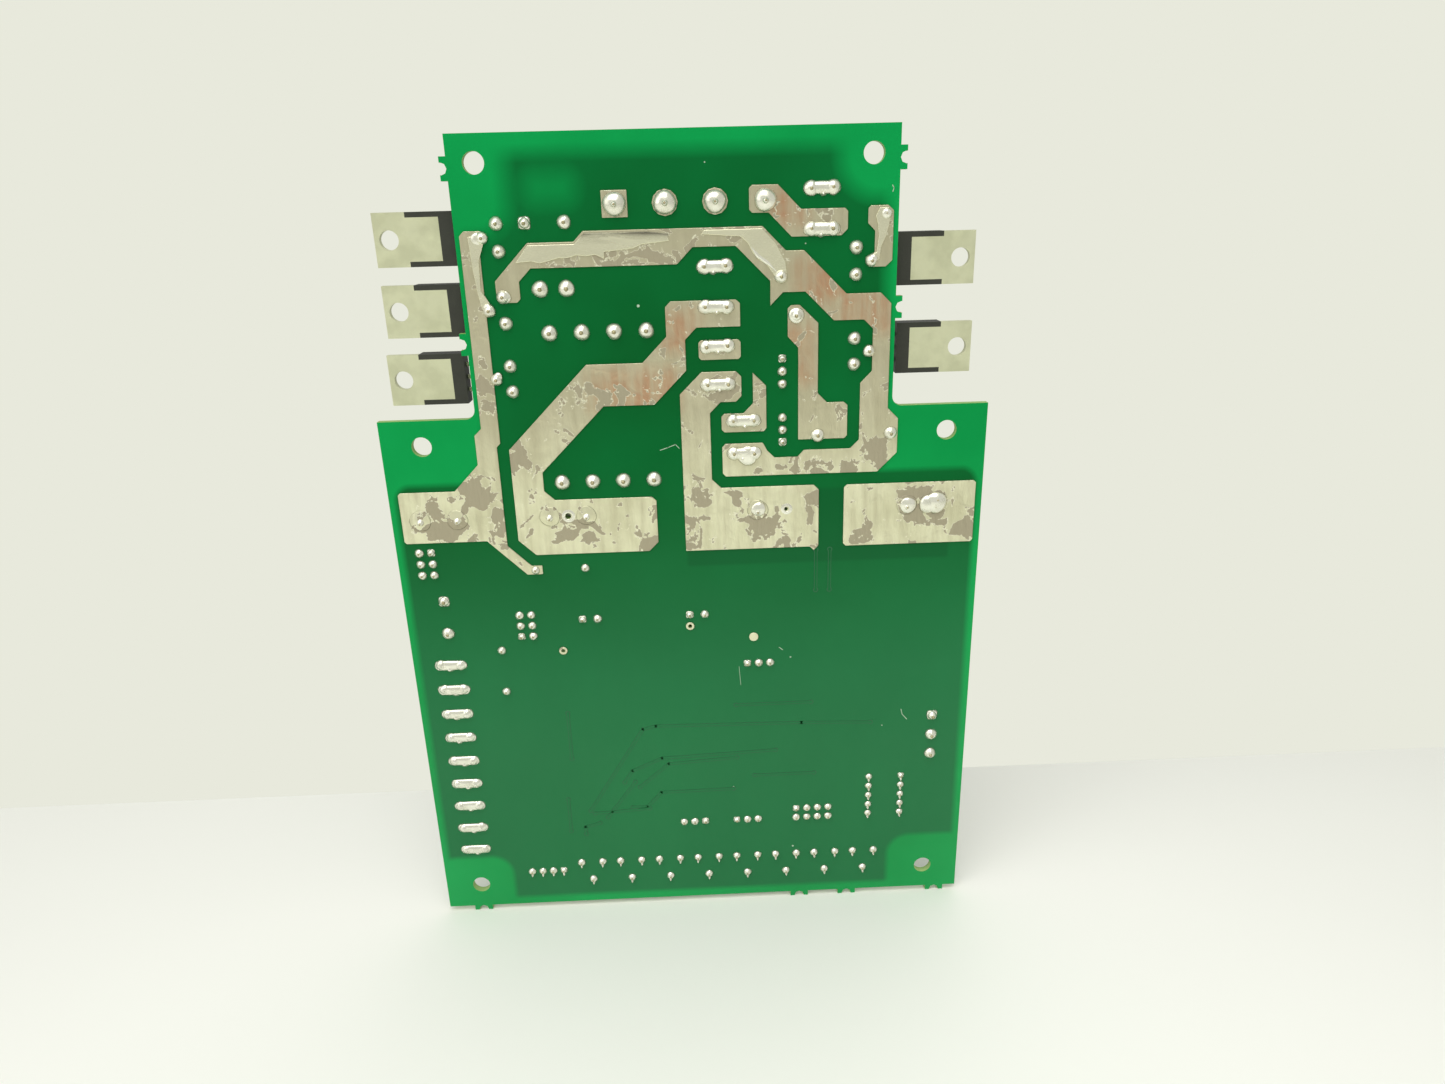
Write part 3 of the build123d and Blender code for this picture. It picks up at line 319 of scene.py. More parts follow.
def copper_share(material, place):
    """One over the copper planes and zero off them."""
    shares = [levels(material, distance_from(material, place, centre, half), corner + soft, corner - soft)
              for centre, half, corner, soft in planes]
    share = times(material, shares[0], shares[1], "MAXIMUM")
    for centre, half, corner, soft in clear_places:
        gone = levels(material, distance_from(material, place, centre, half), corner - soft, corner + soft)
        share = times(material, share, gone)
    return share


# %% [markdown]
# One function makes the mask's finish twice: for the board, with the pale cut edge of the
# laminate, and for the fine raised traces on it, which are mask all over.

# %% Solder mask over glass cloth
def solder_mask(name, with_cut_edge):
    material, shader, place = surface(name, "#0A974B", roughness=0.42, IOR=1.5)
    clear = blend(material, levels(material, grain(material, place, 18, 3), 0.35, 0.65), "#039246", "#07A04F")
    high = node(material, "ShaderNodeSeparateXYZ", {"Vector": place}).outputs["Z"]
    upper = blend(material, levels(material, grain(material, place, 24, 3), 0.35, 0.65), "#005C26", "#016B31")
    lower = blend(material, levels(material, grain(material, place, 20, 4, stretch=(1, 1, 2)), 0.3, 0.7),
                  "#136C3B", "#187541")
    over_copper = blend(material, levels(material, high, 0.040, 0.0), upper, lower)
    band = levels(material, distance_from(material, place, (27.5, 95.5), (27.5, 7.6)), 1.0, 0.3, 0.0, 0.5)
    darker = blend(material, band, over_copper, "#045428")
    whole = blend(material, copper_share(material, place), clear, darker)
    if with_cut_edge:
        normal = node(material, "ShaderNodeNewGeometry").outputs["Normal"]
        across = node(material, "ShaderNodeSeparateXYZ", {"Vector": normal}).outputs["Y"]
        flat = node(material, "ShaderNodeMath", {0: across}, operation="ABSOLUTE").outputs[0]
        edge = blend(material, grain(material, place, 0.5, 2, stretch=(3, 1, 3)), "#7FA55C", "#A2BE78")
        whole = blend(material, levels(material, flat, 0.4, 0.6), edge, whole)
    feed(material, shader, "Base Color", whole)
    feed(material, shader, "Specular IOR Level", levels(material, high, -0.02, 0.05, 0.3, 0.08))
    feed(material, shader, "Roughness", levels(material, grain(material, place, 5, 4), 0.2, 0.8, 0.36, 0.5))
    relief(material, shader, grain(material, place, 0.8, 2, stretch=(1, 1, 3)), 0.008)
    return material


mask = solder_mask("solder_mask_on_laminate", True)
board = nodes["circuit_board"]
board.data.materials.clear()
board.data.materials.append(mask)

# %% [markdown]
# Copper traces under the mask show as faint raised lines with round ends. They are thin ribbons
# along their routes. Each lies over a wider ribbon in a darker green, whose rim is painted shade
# along the trace's sloped edges. A flat plate from an outline is the one shape that they all need.

# %% Traces under the mask
def arc_round(centre, radius, start, end, steps=10):
    """Points on an arc. Angles in degrees."""
    return [(centre[0] + radius * math.cos(math.radians(start + (end - start) * i / steps)),
             centre[1] + radius * math.sin(math.radians(start + (end - start) * i / steps)))
            for i in range(steps + 1)]


def plate(work, outline, front_mm, thick_mm):
    """A flat plate with this outline (across, up), from front_mm before the face back by thick_mm."""
    front = [work.verts.new((at(x, z)[0], -front_mm * MM, at(x, z)[1])) for x, z in outline]
    back = [work.verts.new((at(x, z)[0], (thick_mm - front_mm) * MM, at(x, z)[1])) for x, z in outline]
    work.faces.new(front)
    work.faces.new(list(reversed(back)))
    for i in range(len(front)):
        j = (i + 1) % len(front)
        work.faces.new((front[i], back[i], back[j], front[j]))


def ribbon(work, route, width_mm, front_mm, thick_mm):
    """A narrow plate along each run of a route of (across, up) points."""
    for (x1, z1), (x2, z2) in zip(route, route[1:]):
        run = Vector((x2 - x1, z2 - z1)).normalized() * width_mm / 2
        plate(work, [(x1 - run.x + run.y, z1 - run.y - run.x), (x2 + run.x + run.y, z2 + run.y - run.x),
                     (x2 + run.x - run.y, z2 + run.y + run.x), (x1 - run.x - run.y, z1 - run.y + run.x)],
              front_mm, thick_mm)


traces = [
    [(27.0, 90.0), (27.0, 80.6)], [(30.0, 90.0), (30.0, 80.6)], [(9.0, 52.9), (26.2, 52.9)],
    [(-29.3, 52.5), (-29.3, 40.5)], [(-26.0, 26.0), (-12.5, 47.5), (-9.5, 48.2), (24.0, 47.6), (40.0, 47.0)],
    [(-17.5, 33.5), (-15.5, 36.5), (-8.5, 39.6), (18.0, 40.6)], [(-14.0, 32.0), (-7.0, 38.0), (9.0, 39.0)],
    [(-16.0, 26.5), (-12.5, 26.5), (-9.0, 30.3), (8.0, 30.5)], [(13.0, 34.0), (27.0, 34.0)],
    [(-25.0, 25.2), (-12.0, 26.0)], [(-31.0, 20.5), (-31.0, 29.5)], [(-22.0, 24.0), (-15.0, 33.5)],
    [(-27.5, 19.5), (-27.5, 21.5), (-24.0, 22.5)],
]
trace_w, trace_front = 0.42, 0.05
covered = solder_mask("solder_mask_on_traces", False)
# A wider, darker green ribbon lies under each trace. Its visible rim is painted shade along the trace's
# edges.
trace_edge_painted_shade, shader, place = surface("solder_mask_painted_shade_at_trace_edge", "#0B4D2A", roughness=0.4)
feed(trace_edge_painted_shade, shader, "Base Color", blend(trace_edge_painted_shade, grain(trace_edge_painted_shade, place, 2, 3), "#0E5A32", "#16663B"))
for name, width, front, material in (("trace_edge_shade_under_mask", trace_w + 0.3, 0.03, trace_edge_painted_shade),
                                     ("traces_under_mask", trace_w, trace_front, covered)):
    work = bmesh.new()
    for route in traces:
        ribbon(work, route, width, front, front)
        for x, z in (route[0], route[-1]):
            plate(work, arc_round((x, z), width * 0.8, 0, 330, 11), front + 0.01, front + 0.01)
    piece(name, work, [material], smooth=False)
print("traces:", len(traces))

# %% [markdown]
# The wide copper areas carry the motor's current, so the mask was left off and the board was
# dipped in tin solder. It froze creamy and dull in ragged patches, bright between, and the copper
# tints it pink where the tin is thin. Layers of noise with a sharp step draw the ragged edges.

# %% Dipped tin
dull_places = [
    ((-52.2, 102.7), (3.0, 1.2)), ((-45.0, 104.0), (2.4, 2.0)), ((-50.9, 97.4), (3.6, 0.8)),
    ((-40.2, 99.0), (0.8, 5.0)), ((-23.4, 95.6), (4.2, 1.4)), ((-7.2, 101.4), (0.3, 2.0)),
    ((-8.0, 92.6), (0.8, 0.8)), ((2.4, 102.6), (1.4, 0.8)), ((2.0, 95.5), (1.6, 2.4)),
    ((10.6, 101.2), (0.8, 2.2)), ((17.0, 95.4), (3.4, 1.4)), ((25.6, 99.6), (0.8, 3.0)),
    ((48.6, 102.2), (3.6, 0.8)), ((49.0, 97.4), (3.0, 0.8)), ((57.0, 94.3), (3.0, 0.8)),
    ((36.0, 93.2), (1.4, 0.6)), ((29.0, 108.5), (5.6, 0.6)), ((38.8, 111.0), (2.0, 1.4)),
    ((-15.0, 124.2), (2.2, 0.7)), ((-20.6, 125.0), (1.2, 1.2)), ((-6.0, 151.0), (8.4, 0.8)),
    ((8.2, 124.0), (1.4, 0.6)), ((-35.0, 112.0), (1.0, 1.2)), ((-39.6, 128.0), (0.8, 5.0))]
pink_places = [((-10.0, 125.4), (7.0, 2.4)), ((29.0, 146.0), (4.4, 2.4)), ((36.0, 140.0), (3.6, 2.2)),
               ((21.0, 160.0), (1.8, 1.8)), ((0.0, 137.0), (2.0, 2.0)), ((23.0, 132.0), (0.8, 4.0))]


def nearest(material, place, places):
    """Distance in millimetres from the nearest of these places."""
    least = distance_from(material, place, *places[0])
    for centre, half in places[1:]:
        least = times(material, least, distance_from(material, place, centre, half), "MINIMUM")
    return least


dipped, shader, place = surface("tin_solder_hot_dipped", "#E0DEBC", metallic=0.6, roughness=0.34)
warped = grain(dipped, place, 2.6, 6, 1.2)
fine = grain(dipped, place, 0.7, 4, 0.8)
both = times(dipped, warped, levels(dipped, fine, 0, 1, -0.16, 0.16), "ADD")
ragged = times(dipped, both, levels(dipped, nearest(dipped, place, dull_places), 2.6, 0.0, 0.0, 0.20), "ADD")
dull = levels(dipped, ragged, 0.625, 0.635)
rim = levels(dipped, ragged, 0.607, 0.622)
cream = blend(dipped, levels(dipped, grain(dipped, place, 5, 3), 0.35, 0.65), "#E6E5C3", "#D2D0AD")
high = node(dipped, "ShaderNodeSeparateXYZ", {"Vector": place}).outputs["Z"]
thin = levels(dipped, high, at(0, 106)[1], at(0, 122)[1], 0.0, 0.62)
streaks = grain(dipped, place, 0.9, 4, stretch=(1, 1, 9))
thinned = blend(dipped, thin, cream, "#B3AA8E")
streaked = blend(dipped, levels(dipped, streaks, 0.45, 0.7, 0.0, 0.5), thinned, "#B5AF90")
near_pink = levels(dipped, nearest(dipped, place, pink_places), 4.0, 0.0)
pink = times(dipped, near_pink, levels(dipped, streaks, 0.2, 0.6))
tinted = blend(dipped, times(dipped, pink, levels(dipped, warped, 0.2, 0.7, 0.3, 0.95)), streaked, "#BE8D6A")
edged = blend(dipped, rim, tinted, "#F0EED4")
feed(dipped, shader, "Base Color", blend(dipped, dull, edged, "#AEA68D"))
feed(dipped, shader, "Roughness", levels(dipped, dull, 0, 1, 0.3, 0.5))
lines = grain(dipped, place, 0.5, 3, stretch=(1, 1, 5))
relief(dipped, shader, times(dipped, warped, lines, "ADD"), 0.25)

# %% [markdown]
# Each pour keeps the outline of its CAD solid. Its front edge is rounded, because molten tin
# pulls back from the mask.

# %% Pours and pads
def copy_of(name, new_name, material):
    """A new piece with a CAD node's shape, so that its edges can be finished."""
    made = piece(new_name, welded(name), [material], stands_for=[name], smooth=False)
    return made


for name in ("tinned_pours", "tinned_pads"):
    made = copy_of(name, name + "_dipped", dipped)
    soften(made, 0.13, 3)

# %% [markdown]
# A solder joint is a small hill: solder climbs the lead and wets the pad, so it has a full skirt
# and a flatter top, with the cut end of the lead in it. Each is built from rings, with its
# own slight lean and swell, from the place and size of its CAD cone.

# %% Solder joints
random.seed(5)


def hill(work, centre, foot_y, half, tall, profile, long_half=0.0, sag=0.0, square=0.0,
         around=28, rings=9, index=0):
    """Rings of points from the foot of a joint to its top, in metres. The index picks a material."""
    lean = Vector((random.uniform(-0.05, 0.05), random.uniform(-0.05, 0.05) - sag)) * half * 2
    swell = random.uniform(0.95, 1.0)
    phase = random.uniform(0, math.tau)
    reach = max(long_half - half, 0)
    rows = []
    for ring in range(rings):
        share = 1 - ring / rings
        row = []
        for i in range(around):
            angle = math.tau * i / around
            c, s = math.cos(angle), math.sin(angle)
            corner = (abs(c) ** 4 + abs(s) ** 4) ** -0.25 if square else 1.0
            wobble = 1 + 0.03 * math.sin(3 * angle + phase)
            radius = half * (1 + (corner - 1) * square * share) * wobble * swell
            across = (radius * c + reach * max(-1, min(1, 2.5 * c))) * share
            height = tall * profile(share)
            row.append(work.verts.new((centre[0] + across + lean.x * (1 - share), foot_y - height,
                                       centre[1] + radius * s * share + lean.y * (1 - share))))
        rows.append(row)
    top = work.verts.new((centre[0] + lean.x, foot_y - tall * profile(0), centre[1] + lean.y))
    faces = [work.faces.new(list(reversed(rows[0])))]
    for low, high in zip(rows, rows[1:]):
        for i in range(around):
            j = (i + 1) % around
            faces.append(work.faces.new((low[i], low[j], high[j], high[i])))
    for i in range(around):
        faces.append(work.faces.new((rows[-1][i], rows[-1][(i + 1) % around], top)))
    for face in faces:
        face.material_index = index


def flat_cone(share):
    """A full skirt that rises to a flatter top, where the lead's end sits."""
    return 0.78 * (1 - share ** 2.0) ** 0.8 + 0.22 * (1 - share)


def round_drop(share):
    """A full round drop."""
    return (1 - share ** 2.2) ** 0.72


def soft_bell(share):
    return (0.5 + 0.5 * math.cos(math.pi * share)) ** 0.75


joint_tin, shader, place = surface("tin_solder_joint", "#F0EFE0", metallic=0.75, roughness=0.26)
spots = grain(joint_tin, place, 0.9, 3)
spotted = levels(joint_tin, spots, 0.35, 0.65)
feed(joint_tin, shader, "Base Color", blend(joint_tin, spotted, "#F2F1E2", "#E2E1CF"))
feed(joint_tin, shader, "Roughness", levels(joint_tin, spots, 0.3, 0.7, 0.2, 0.3))
relief(joint_tin, shader, grain(joint_tin, place, 1.2, 2), 0.012)
lead_end, shader, place = surface("cut_lead_end_flux_stained", "#A79C76", metallic=0.6, roughness=0.4)
feed(lead_end, shader, "Base Color", blend(lead_end, grain(lead_end, place, 0.4, 3), "#978C68", "#C2B993"))


def pin_joint(work, centre, foot, half, tall, square, tail):
    """A hill of solder with the lead's end in it. A tail is the drop that hung below as it froze."""
    if square:
        hill(work, centre, foot, half * 0.98, tall * 0.3, round_drop, square=1.0, rings=6)
    hill(work, centre, foot, half * (0.92 if square else 1.1), tall * 0.8, flat_cone, sag=0.05)
    end = max(0.4 * MM, min(half * 0.5, 0.75 * MM))
    hill(work, (centre[0], centre[1] - 0.04 * half), foot, end, tall * 0.93, round_drop,
         around=16, rings=5, index=1)
    if tail:
        tip = (centre[0] + random.uniform(-0.08, 0.08) * MM, centre[1] - half * 1.0)
        hill(work, tip, foot, 0.34 * MM, tall * 0.5, round_drop, sag=0.7, around=12, rings=5)


drop_widths = (1.55 * MM, 1.65 * MM)
trimmers_below = 13
work = bmesh.new()
solder_points = islands("pin_joints")
for points in solder_points:
    low, high = span(points)
    centre = ((low.x + high.x) / 2, (low.z + high.z) / 2)
    half, tall = (high.x - low.x) / 2, high.y - low.y
    foot_points = sum(abs(p.y - high.y) < 1e-6 for p in points)
    small = drop_widths[0] < 2 * half < drop_widths[1]
    tail = small or centre[1] < at(0, trimmers_below)[1]
    pin_joint(work, centre, high.y, half, tall, foot_points == 4, tail)
piece("pin_joints_soldered", work, [joint_tin, lead_end], stands_for=["pin_joints"])
print("pin joints:", len(solder_points))

# %% [markdown]
# The two legs of a push-on tab stand in one long bead. Each leg lifts a lobe, and a small drop
# hangs below the middle, as it froze.

# %% Wide and heavy joints
control_tabs_left_of = -45
strip_joint_half = 2 * MM
work = bmesh.new()
for points in islands("tab_joints"):
    low, high = span(points)
    centre = ((low.x + high.x) / 2, (low.z + high.z) / 2)
    half, tall, reach = (high.z - low.z) / 2, high.y - low.y, (high.x - low.x) / 2
    control = centre[0] < at(control_tabs_left_of, 0)[0]
    hill(work, centre, high.y, half * 0.98, tall * 0.58, round_drop, long_half=reach * 0.97,
         around=48, rings=12)
    for side in (-1, 1):
        lobe = (centre[0] + side * reach * 0.55, centre[1] + random.uniform(-0.1, 0.15) * MM)
        size = half * (random.uniform(0.95, 1.05) if control else random.uniform(1.12, 1.2))
        hill(work, lobe, high.y, size, tall * random.uniform(0.74, 0.84), flat_cone)
        hill(work, lobe, high.y, (0.4 if control else 0.6) * MM, tall * 0.94, round_drop,
             around=16, rings=5, index=0 if control else 1)
    drop = (centre[0] + random.uniform(-0.4, 0.4) * MM, centre[1] - (0.5 if control else 0.9) * MM)
    hill(work, drop, high.y, (1.15 if control else 0.7) * MM, tall * random.uniform(0.55, 0.7), soft_bell,
         sag=0.15, around=18, rings=7)
piece("tab_joints_soldered", work, [joint_tin, lead_end], stands_for=["tab_joints"])

work = bmesh.new()
heavy = islands("heavy_joints")
for points in heavy:
    low, high = span(points)
    centre = ((low.x + high.x) / 2, (low.z + high.z) / 2)
    half, tall = (high.x - low.x) / 2, high.y - low.y
    if half > strip_joint_half:
        hill(work, centre, high.y, half * 1.02, tall * 0.66, round_drop, around=36, rings=11)
        hill(work, centre, high.y, 0.95 * MM, tall * 0.9, round_drop, sag=0.1, around=20, rings=7)
        hill(work, centre, high.y, 0.6 * MM, tall * 0.97, round_drop, sag=0.1, around=16, rings=5, index=1)
    else:
        hill(work, centre, high.y, half * 1.5, tall * 0.3, soft_bell, around=30, rings=9, index=2)
        hill(work, (centre[0], centre[1] - 0.2 * MM), high.y, half * 0.62, tall * 0.75, flat_cone, sag=0.2,
             around=20, rings=7)
        hill(work, (centre[0], centre[1] - 0.35 * MM), high.y, half * 0.26, tall * 0.9, round_drop, sag=0.2,
             around=12, rings=4, index=1)
piece("heavy_joints_soldered", work, [joint_tin, lead_end, dipped], stands_for=["heavy_joints"])
print("heavy joints:", len(heavy))

# %% [markdown]
# Solder ran along some pours and froze as a second layer with a wavy rim, and as low puddles and
# ridges. A layer is a plate with a rounded rim. A puddle is a low hill, and a ridge is swept.

# %% Layers, ridges and puddles
def ridge(work, route, half_mm, tall_mm, base_mm=0.25, across_steps=8):
    """A low mound swept along a route of (across, up) points, with a wandering width."""
    points = []
    for (x1, z1), (x2, z2) in zip(route, route[1:]):
        steps = max(2, int(math.dist((x1, z1), (x2, z2)) / 0.5))
        points += [Vector((x1 + (x2 - x1) * i / steps, z1 + (z2 - z1) * i / steps)) for i in range(steps)]
    points.append(Vector(route[-1]))
    phase = random.uniform(0, math.tau)
    rows = []
    for i, point in enumerate(points):
        along = (points[min(i + 2, len(points) - 1)] - points[max(i - 2, 0)]).normalized()
        side = Vector((-along.y, along.x))
        end = math.sin(math.pi * min(1, max(0.04, min(i, len(points) - 1 - i) / 5)) / 2)
        wave = 0.72 + 0.16 * math.sin(i * 0.55 + phase) + 0.12 * math.sin(i * 1.3 + 2 * phase)
        row = []
        for k in range(across_steps + 1):
            t = 2 * k / across_steps - 1
            off = side * t * half_mm * end * wave
            height = base_mm - 0.05 + (tall_mm * end * (0.7 + 0.3 * wave)) * (1 - t * t) ** 0.8
            x, z = at(point.x + off.x, point.y + off.y)
            row.append(work.verts.new((x, -height * MM, z)))
        rows.append(row)
    for low, high in zip(rows, rows[1:]):
        for k in range(across_steps):
            work.faces.new((low[k], low[k + 1], high[k + 1], high[k]))


layers = [
    [(-31.4, 150.8), (-30.3, 151.0), (-28.2, 151.1), (-26.7, 150.7), (-25.3, 151.0), (-22.9, 151.6),
     (-21.5, 151.5), (-19.6, 152.0), (-17.7, 151.8), (-16.0, 152.0), (-14.3, 151.2), (-14.2, 152.5),
     (-11.5, 152.7), (-8.6, 153.0), (-6.9, 153.7), (-4.3, 153.9), (-1.7, 154.2), (-1.9, 155.6),
     (-6.0, 156.0), (-17.9, 156.0), (-19.9, 154.1), (-28.8, 154.1)],
    [(4.4, 155.2), (11.9, 154.6), (13.3, 153.4), (14.2, 151.6), (15.2, 150.4), (17.0, 149.2),
     (18.4, 147.2), (19.7, 146.4), (20.9, 147.2), (20.6, 149.8), (18.8, 153.2), (16.2, 156.0),
     (5.0, 156.0)],
    [(38.7, 159.2), (40.4, 159.2), (40.8, 158.2), (40.6, 156.3), (40.0, 153.9), (39.1, 152.0),
     (38.9, 149.8), (37.9, 149.2), (36.9, 149.5), (36.9, 150.6), (38.2, 151.0), (38.6, 153.9),
     (38.3, 156.3), (37.9, 157.7)],
    [(-39.9, 155.9), (-37.4, 156.2), (-37.0, 154.6), (-38.2, 151.5), (-38.4, 146.0), (-37.0, 143.6),
     (-37.2, 141.8), (-38.6, 142.4), (-39.2, 146.0), (-39.6, 150.0)],
]
work = bmesh.new()
for outline in layers:
    plate(work, outline, 0.45, 0.3)
bright_tin, shader, place = surface("tin_solder_frozen_bright", "#E6E4CC", metallic=0.85, roughness=0.22)
clouds = levels(bright_tin, grain(bright_tin, place, 2.2, 5, 1.0, stretch=(4, 1, 1)), 0.4, 0.6)
upper_pour_top = distance_from(bright_tin, place, (-12.0, 156.2), (12.0, 0.2))
top_part = times(bright_tin, levels(bright_tin, upper_pour_top, 2.2, 0.4), clouds)
feed(bright_tin, shader, "Base Color", blend(bright_tin, top_part, "#E9E7C9", "#7D7968"))
feed(bright_tin, shader, "Roughness", levels(bright_tin, clouds, 0, 1, 0.3, 0.18))
relief(bright_tin, shader, grain(bright_tin, place, 1.6, 4), 0.12)
soften(piece("solder_layers", work, [bright_tin], smooth=False), 0.14, 3)

# Each puddle has its middle (across, up), half its width and its height in millimetres
pour_face = -0.25 * MM
puddles = [
    ((52.4, 99.8), 2.6, 1.2), ((50.9, 99.5), 2.2, 1.05), ((46.5, 99.4), 1.9, 0.7),
    ((14.7, 99.7), 1.7, 0.75), ((22.7, 139.5), 1.7, 0.7), ((27.1, 115.2), 0.9, 0.45),
    ((42.0, 115.2), 0.9, 0.45), ((12.6, 111.4), 2.2, 0.7), ((-34.0, 144.6), 1.3, 0.6),
    ((19.8, 147.2), 1.1, 0.9), ((37.6, 149.9), 1.0, 0.8), ((40.0, 158.1), 1.1, 0.6),
    ((-38.2, 155.5), 1.3, 0.5), ((-37.5, 142.6), 1.0, 0.6), ((-36.9, 129.3), 0.9, 0.5)]
puddle_leads = [
    ((52.6, 100.6), 0.5, 1.25), ((46.5, 99.2), 0.25, 0.8), ((27.1, 115.0), 0.3, 0.5),
    ((42.0, 115.0), 0.3, 0.5), ((-37.5, 142.4), 0.45, 0.66), ((40.0, 158.1), 0.45, 0.66)]
work = bmesh.new()
ridge(work, [(13.6, 153.2), (15.2, 151.0), (17.4, 149.4), (19.4, 147.4)], 0.5, 0.3, 0.42)
for middle, half_mm, tall_mm in puddles:
    hill(work, at(*middle), pour_face, half_mm * MM, tall_mm * MM, round_drop, around=26, rings=8)
for middle, half_mm, tall_mm in puddle_leads:
    hill(work, at(*middle), pour_face, half_mm * MM, tall_mm * MM, round_drop, around=12, rings=4, index=1)
piece("solder_puddles", work, [joint_tin, lead_end])

# %% [markdown]
# Handling left a few hairs, flecks of dust and a scratch on the mask. They are drawn as thin
# plates that lie on it.

# %% Hairs and flecks
dust, shader, place = surface("dust_and_fibres_pale", "#BFD3BE", roughness=0.8)
feed(dust, shader, "Base Color", blend(dust, grain(dust, place, 0.5, 2), "#C9DAC4", "#8FB394"))
hairs = [
    ([(-5.4, 113.1), (-3.8, 113.6), (-2.2, 114.2), (-1.5, 113.4)], 0.14),
    ([(47.0, 50.0), (47.3, 48.7), (48.4, 47.4)], 0.16), ([(41.0, 163.1), (41.3, 162.6), (41.1, 162.0)], 0.16),
    ([(19.0, 67.0), (19.7, 66.4)], 0.16), ([(9.9, 62.6), (10.2, 58.0)], 0.08)]
flecks = [
    (21.5, 64.5, 0.2), (22.0, 13.5, 0.26), (42.7, 46.0, 0.16), (-8.3, 142.2, 0.3), (8.0, 31.0, 0.2),
    (5.5, 168.0, 0.15), (-19.0, 127.0, 0.14), (24.5, 153.0, 0.14)]
work = bmesh.new()
for route, width in hairs:
    ribbon(work, route, width, 0.03, 0.02)
for x, z, size in flecks:
    plate(work, arc_round((x, z), size, 0, 300, 5), 0.03, 0.02)
piece("hairs_and_flecks", work, [dust], smooth=False)

# %% [markdown]
# Two holes beside the fuse legs hold no lead. Each shows a dark bore in a bright ring of tin.

# %% Open holes
around_rim = 16
# Steps of the rim in millimetres: out from the bore, and forward of the solder face
rim_steps = [(0.75, 0.24), (0.4, 0.4), (0.1, 0.4), (0, 0.28), (0, -0.3)]
work = bmesh.new()
for middle, bore in (((-25.3, 99.6), 0.68), ((20.7, 99.5), 0.5)):
    lips = []
    for out, front in rim_steps:
        ring = arc_round(middle, bore + out, 0, 337.5, around_rim - 1)
        lips.append([work.verts.new((at(x, z)[0], -front * MM, at(x, z)[1])) for x, z in ring])
    for outer, inner in zip(lips, lips[1:]):
        for i in range(around_rim):
            j = (i + 1) % around_rim
            work.faces.new((outer[i], outer[j], inner[j], inner[i]))
piece("open_hole_rims", work, [joint_tin])

# %% [markdown]
# The power devices stand out over the edge: a stamped copper tab, tinned matte, in a body of
# moulded epoxy. The tin is even and cream, with faint stains from flux.

# %% Power devices
tab_tin, shader, place = surface("matte_tin_on_stamped_tab", "#D2D3B3", metallic=0.6, roughness=0.5)
stain = levels(tab_tin, grain(tab_tin, place, 2.6, 4), 0.45, 0.62)
feed(tab_tin, shader, "Base Color", blend(tab_tin, stain, "#D6D8B6", "#CACCAA"))
feed(tab_tin, shader, "Roughness", levels(tab_tin, grain(tab_tin, place, 0.7, 3), 0.3, 0.7, 0.42, 0.6))
relief(tab_tin, shader, grain(tab_tin, place, 0.25, 2), 0.01)
epoxy, shader, place = surface("moulded_epoxy_matte", "#2C2E26", roughness=0.6)
feed(epoxy, shader, "Base Color", blend(epoxy, grain(epoxy, place, 1.5, 3), "#26281F", "#34362C"))
relief(epoxy, shader, grain(epoxy, place, 0.12, 1), 0.02)


def finish_node(name, material, edge_mm=0.0):
    """Gives a CAD node its material, and rounds its edges where they show."""
    shown = nodes[name]
    shown.data.materials.clear()
    shown.data.materials.append(material)
    if edge_mm:
        soften(shown, edge_mm)


for side in ("left_upper", "left_middle", "left_lower", "right_upper", "right_lower"):
    finish_node(side + "_device_tab", tab_tin, 0.08)
    finish_node(side + "_device_body", epoxy, 0.12)

# %% [markdown]
# Plain finishes of the component side follow. Each is named for its real material and how its
# surface was made.

# %% Finishes of the component side
def moulded(name, first, second, roughness, spot_mm=1.2, gloss=0.0):
    """A moulded plastic: a slight cloud of tone and a fine spark-eroded grain."""
    material, shader, place = surface(name, first, roughness=roughness, IOR=1.5)
    clouds = grain(material, place, spot_mm * 3, 3)
    feed(material, shader, "Base Color", blend(material, clouds, first, second))
    feed(material, shader, "Roughness", levels(material, grain(material, place, spot_mm, 3), 0.3, 0.7,
                                               roughness - 0.06, roughness + 0.06))
    shader.inputs["Coat Weight"].default_value = gloss
    relief(material, shader, grain(material, place, 0.15, 1), 0.015)
    return material


def plated(name, first, second, roughness, stretch=(1, 1, 1)):
    """A plated metal with fine drawing or stamping lines."""
    material, shader, place = surface(name, first, metallic=1.0, roughness=roughness)
    lines = grain(material, place, 0.2, 3, stretch=stretch)
    feed(material, shader, "Base Color", blend(material, grain(material, place, 2, 3), first, second))
    feed(material, shader, "Roughness", levels(material, lines, 0.3, 0.7, roughness - 0.07, roughness + 0.08))
    relief(material, shader, lines, 0.008)
    return material


black_nylon = moulded("black_nylon_moulded", "#1B1B1A", "#262624", 0.45)
green_nylon = moulded("green_nylon_moulded", "#1F7A48", "#2A8A55", 0.42)
red_case = moulded("red_polyester_moulded", "#9E1F1A", "#B02A22", 0.4)
blue_case = moulded("blue_polyester_moulded", "#1C4F9C", "#2A5FAE", 0.4)
white_nylon = moulded("white_nylon_moulded", "#E3E0D5", "#EDEAE0", 0.45)
brown_former = moulded("glass_filled_nylon", "#25221E", "#33302A", 0.55)
tinned_brass = plated("tin_plate_on_stamped_brass", "#CFCDC4", "#BDBAAE", 0.3, (1, 1, 8))
nickel = plated("nickel_plate_on_drawn_cap", "#C9C5BA", "#B8B3A6", 0.24)
zinc = plated("zinc_plate_on_turned_steel", "#B9BAB8", "#A3A49F", 0.32)
gold = plated("gold_flash_on_drawn_wire", "#D9B565", "#C8A252", 0.28)
wire_tin = plated("tinned_copper_wire", "#C9C8C2", "#B4B2AA", 0.3)
print("materials:", len(bpy.data.materials))

# %% [markdown]
# Each of these nodes keeps its CAD shape and gets its material. All but the chips' fine legs have
# their edges rounded, by a few hundredths of a millimetre up to a quarter.

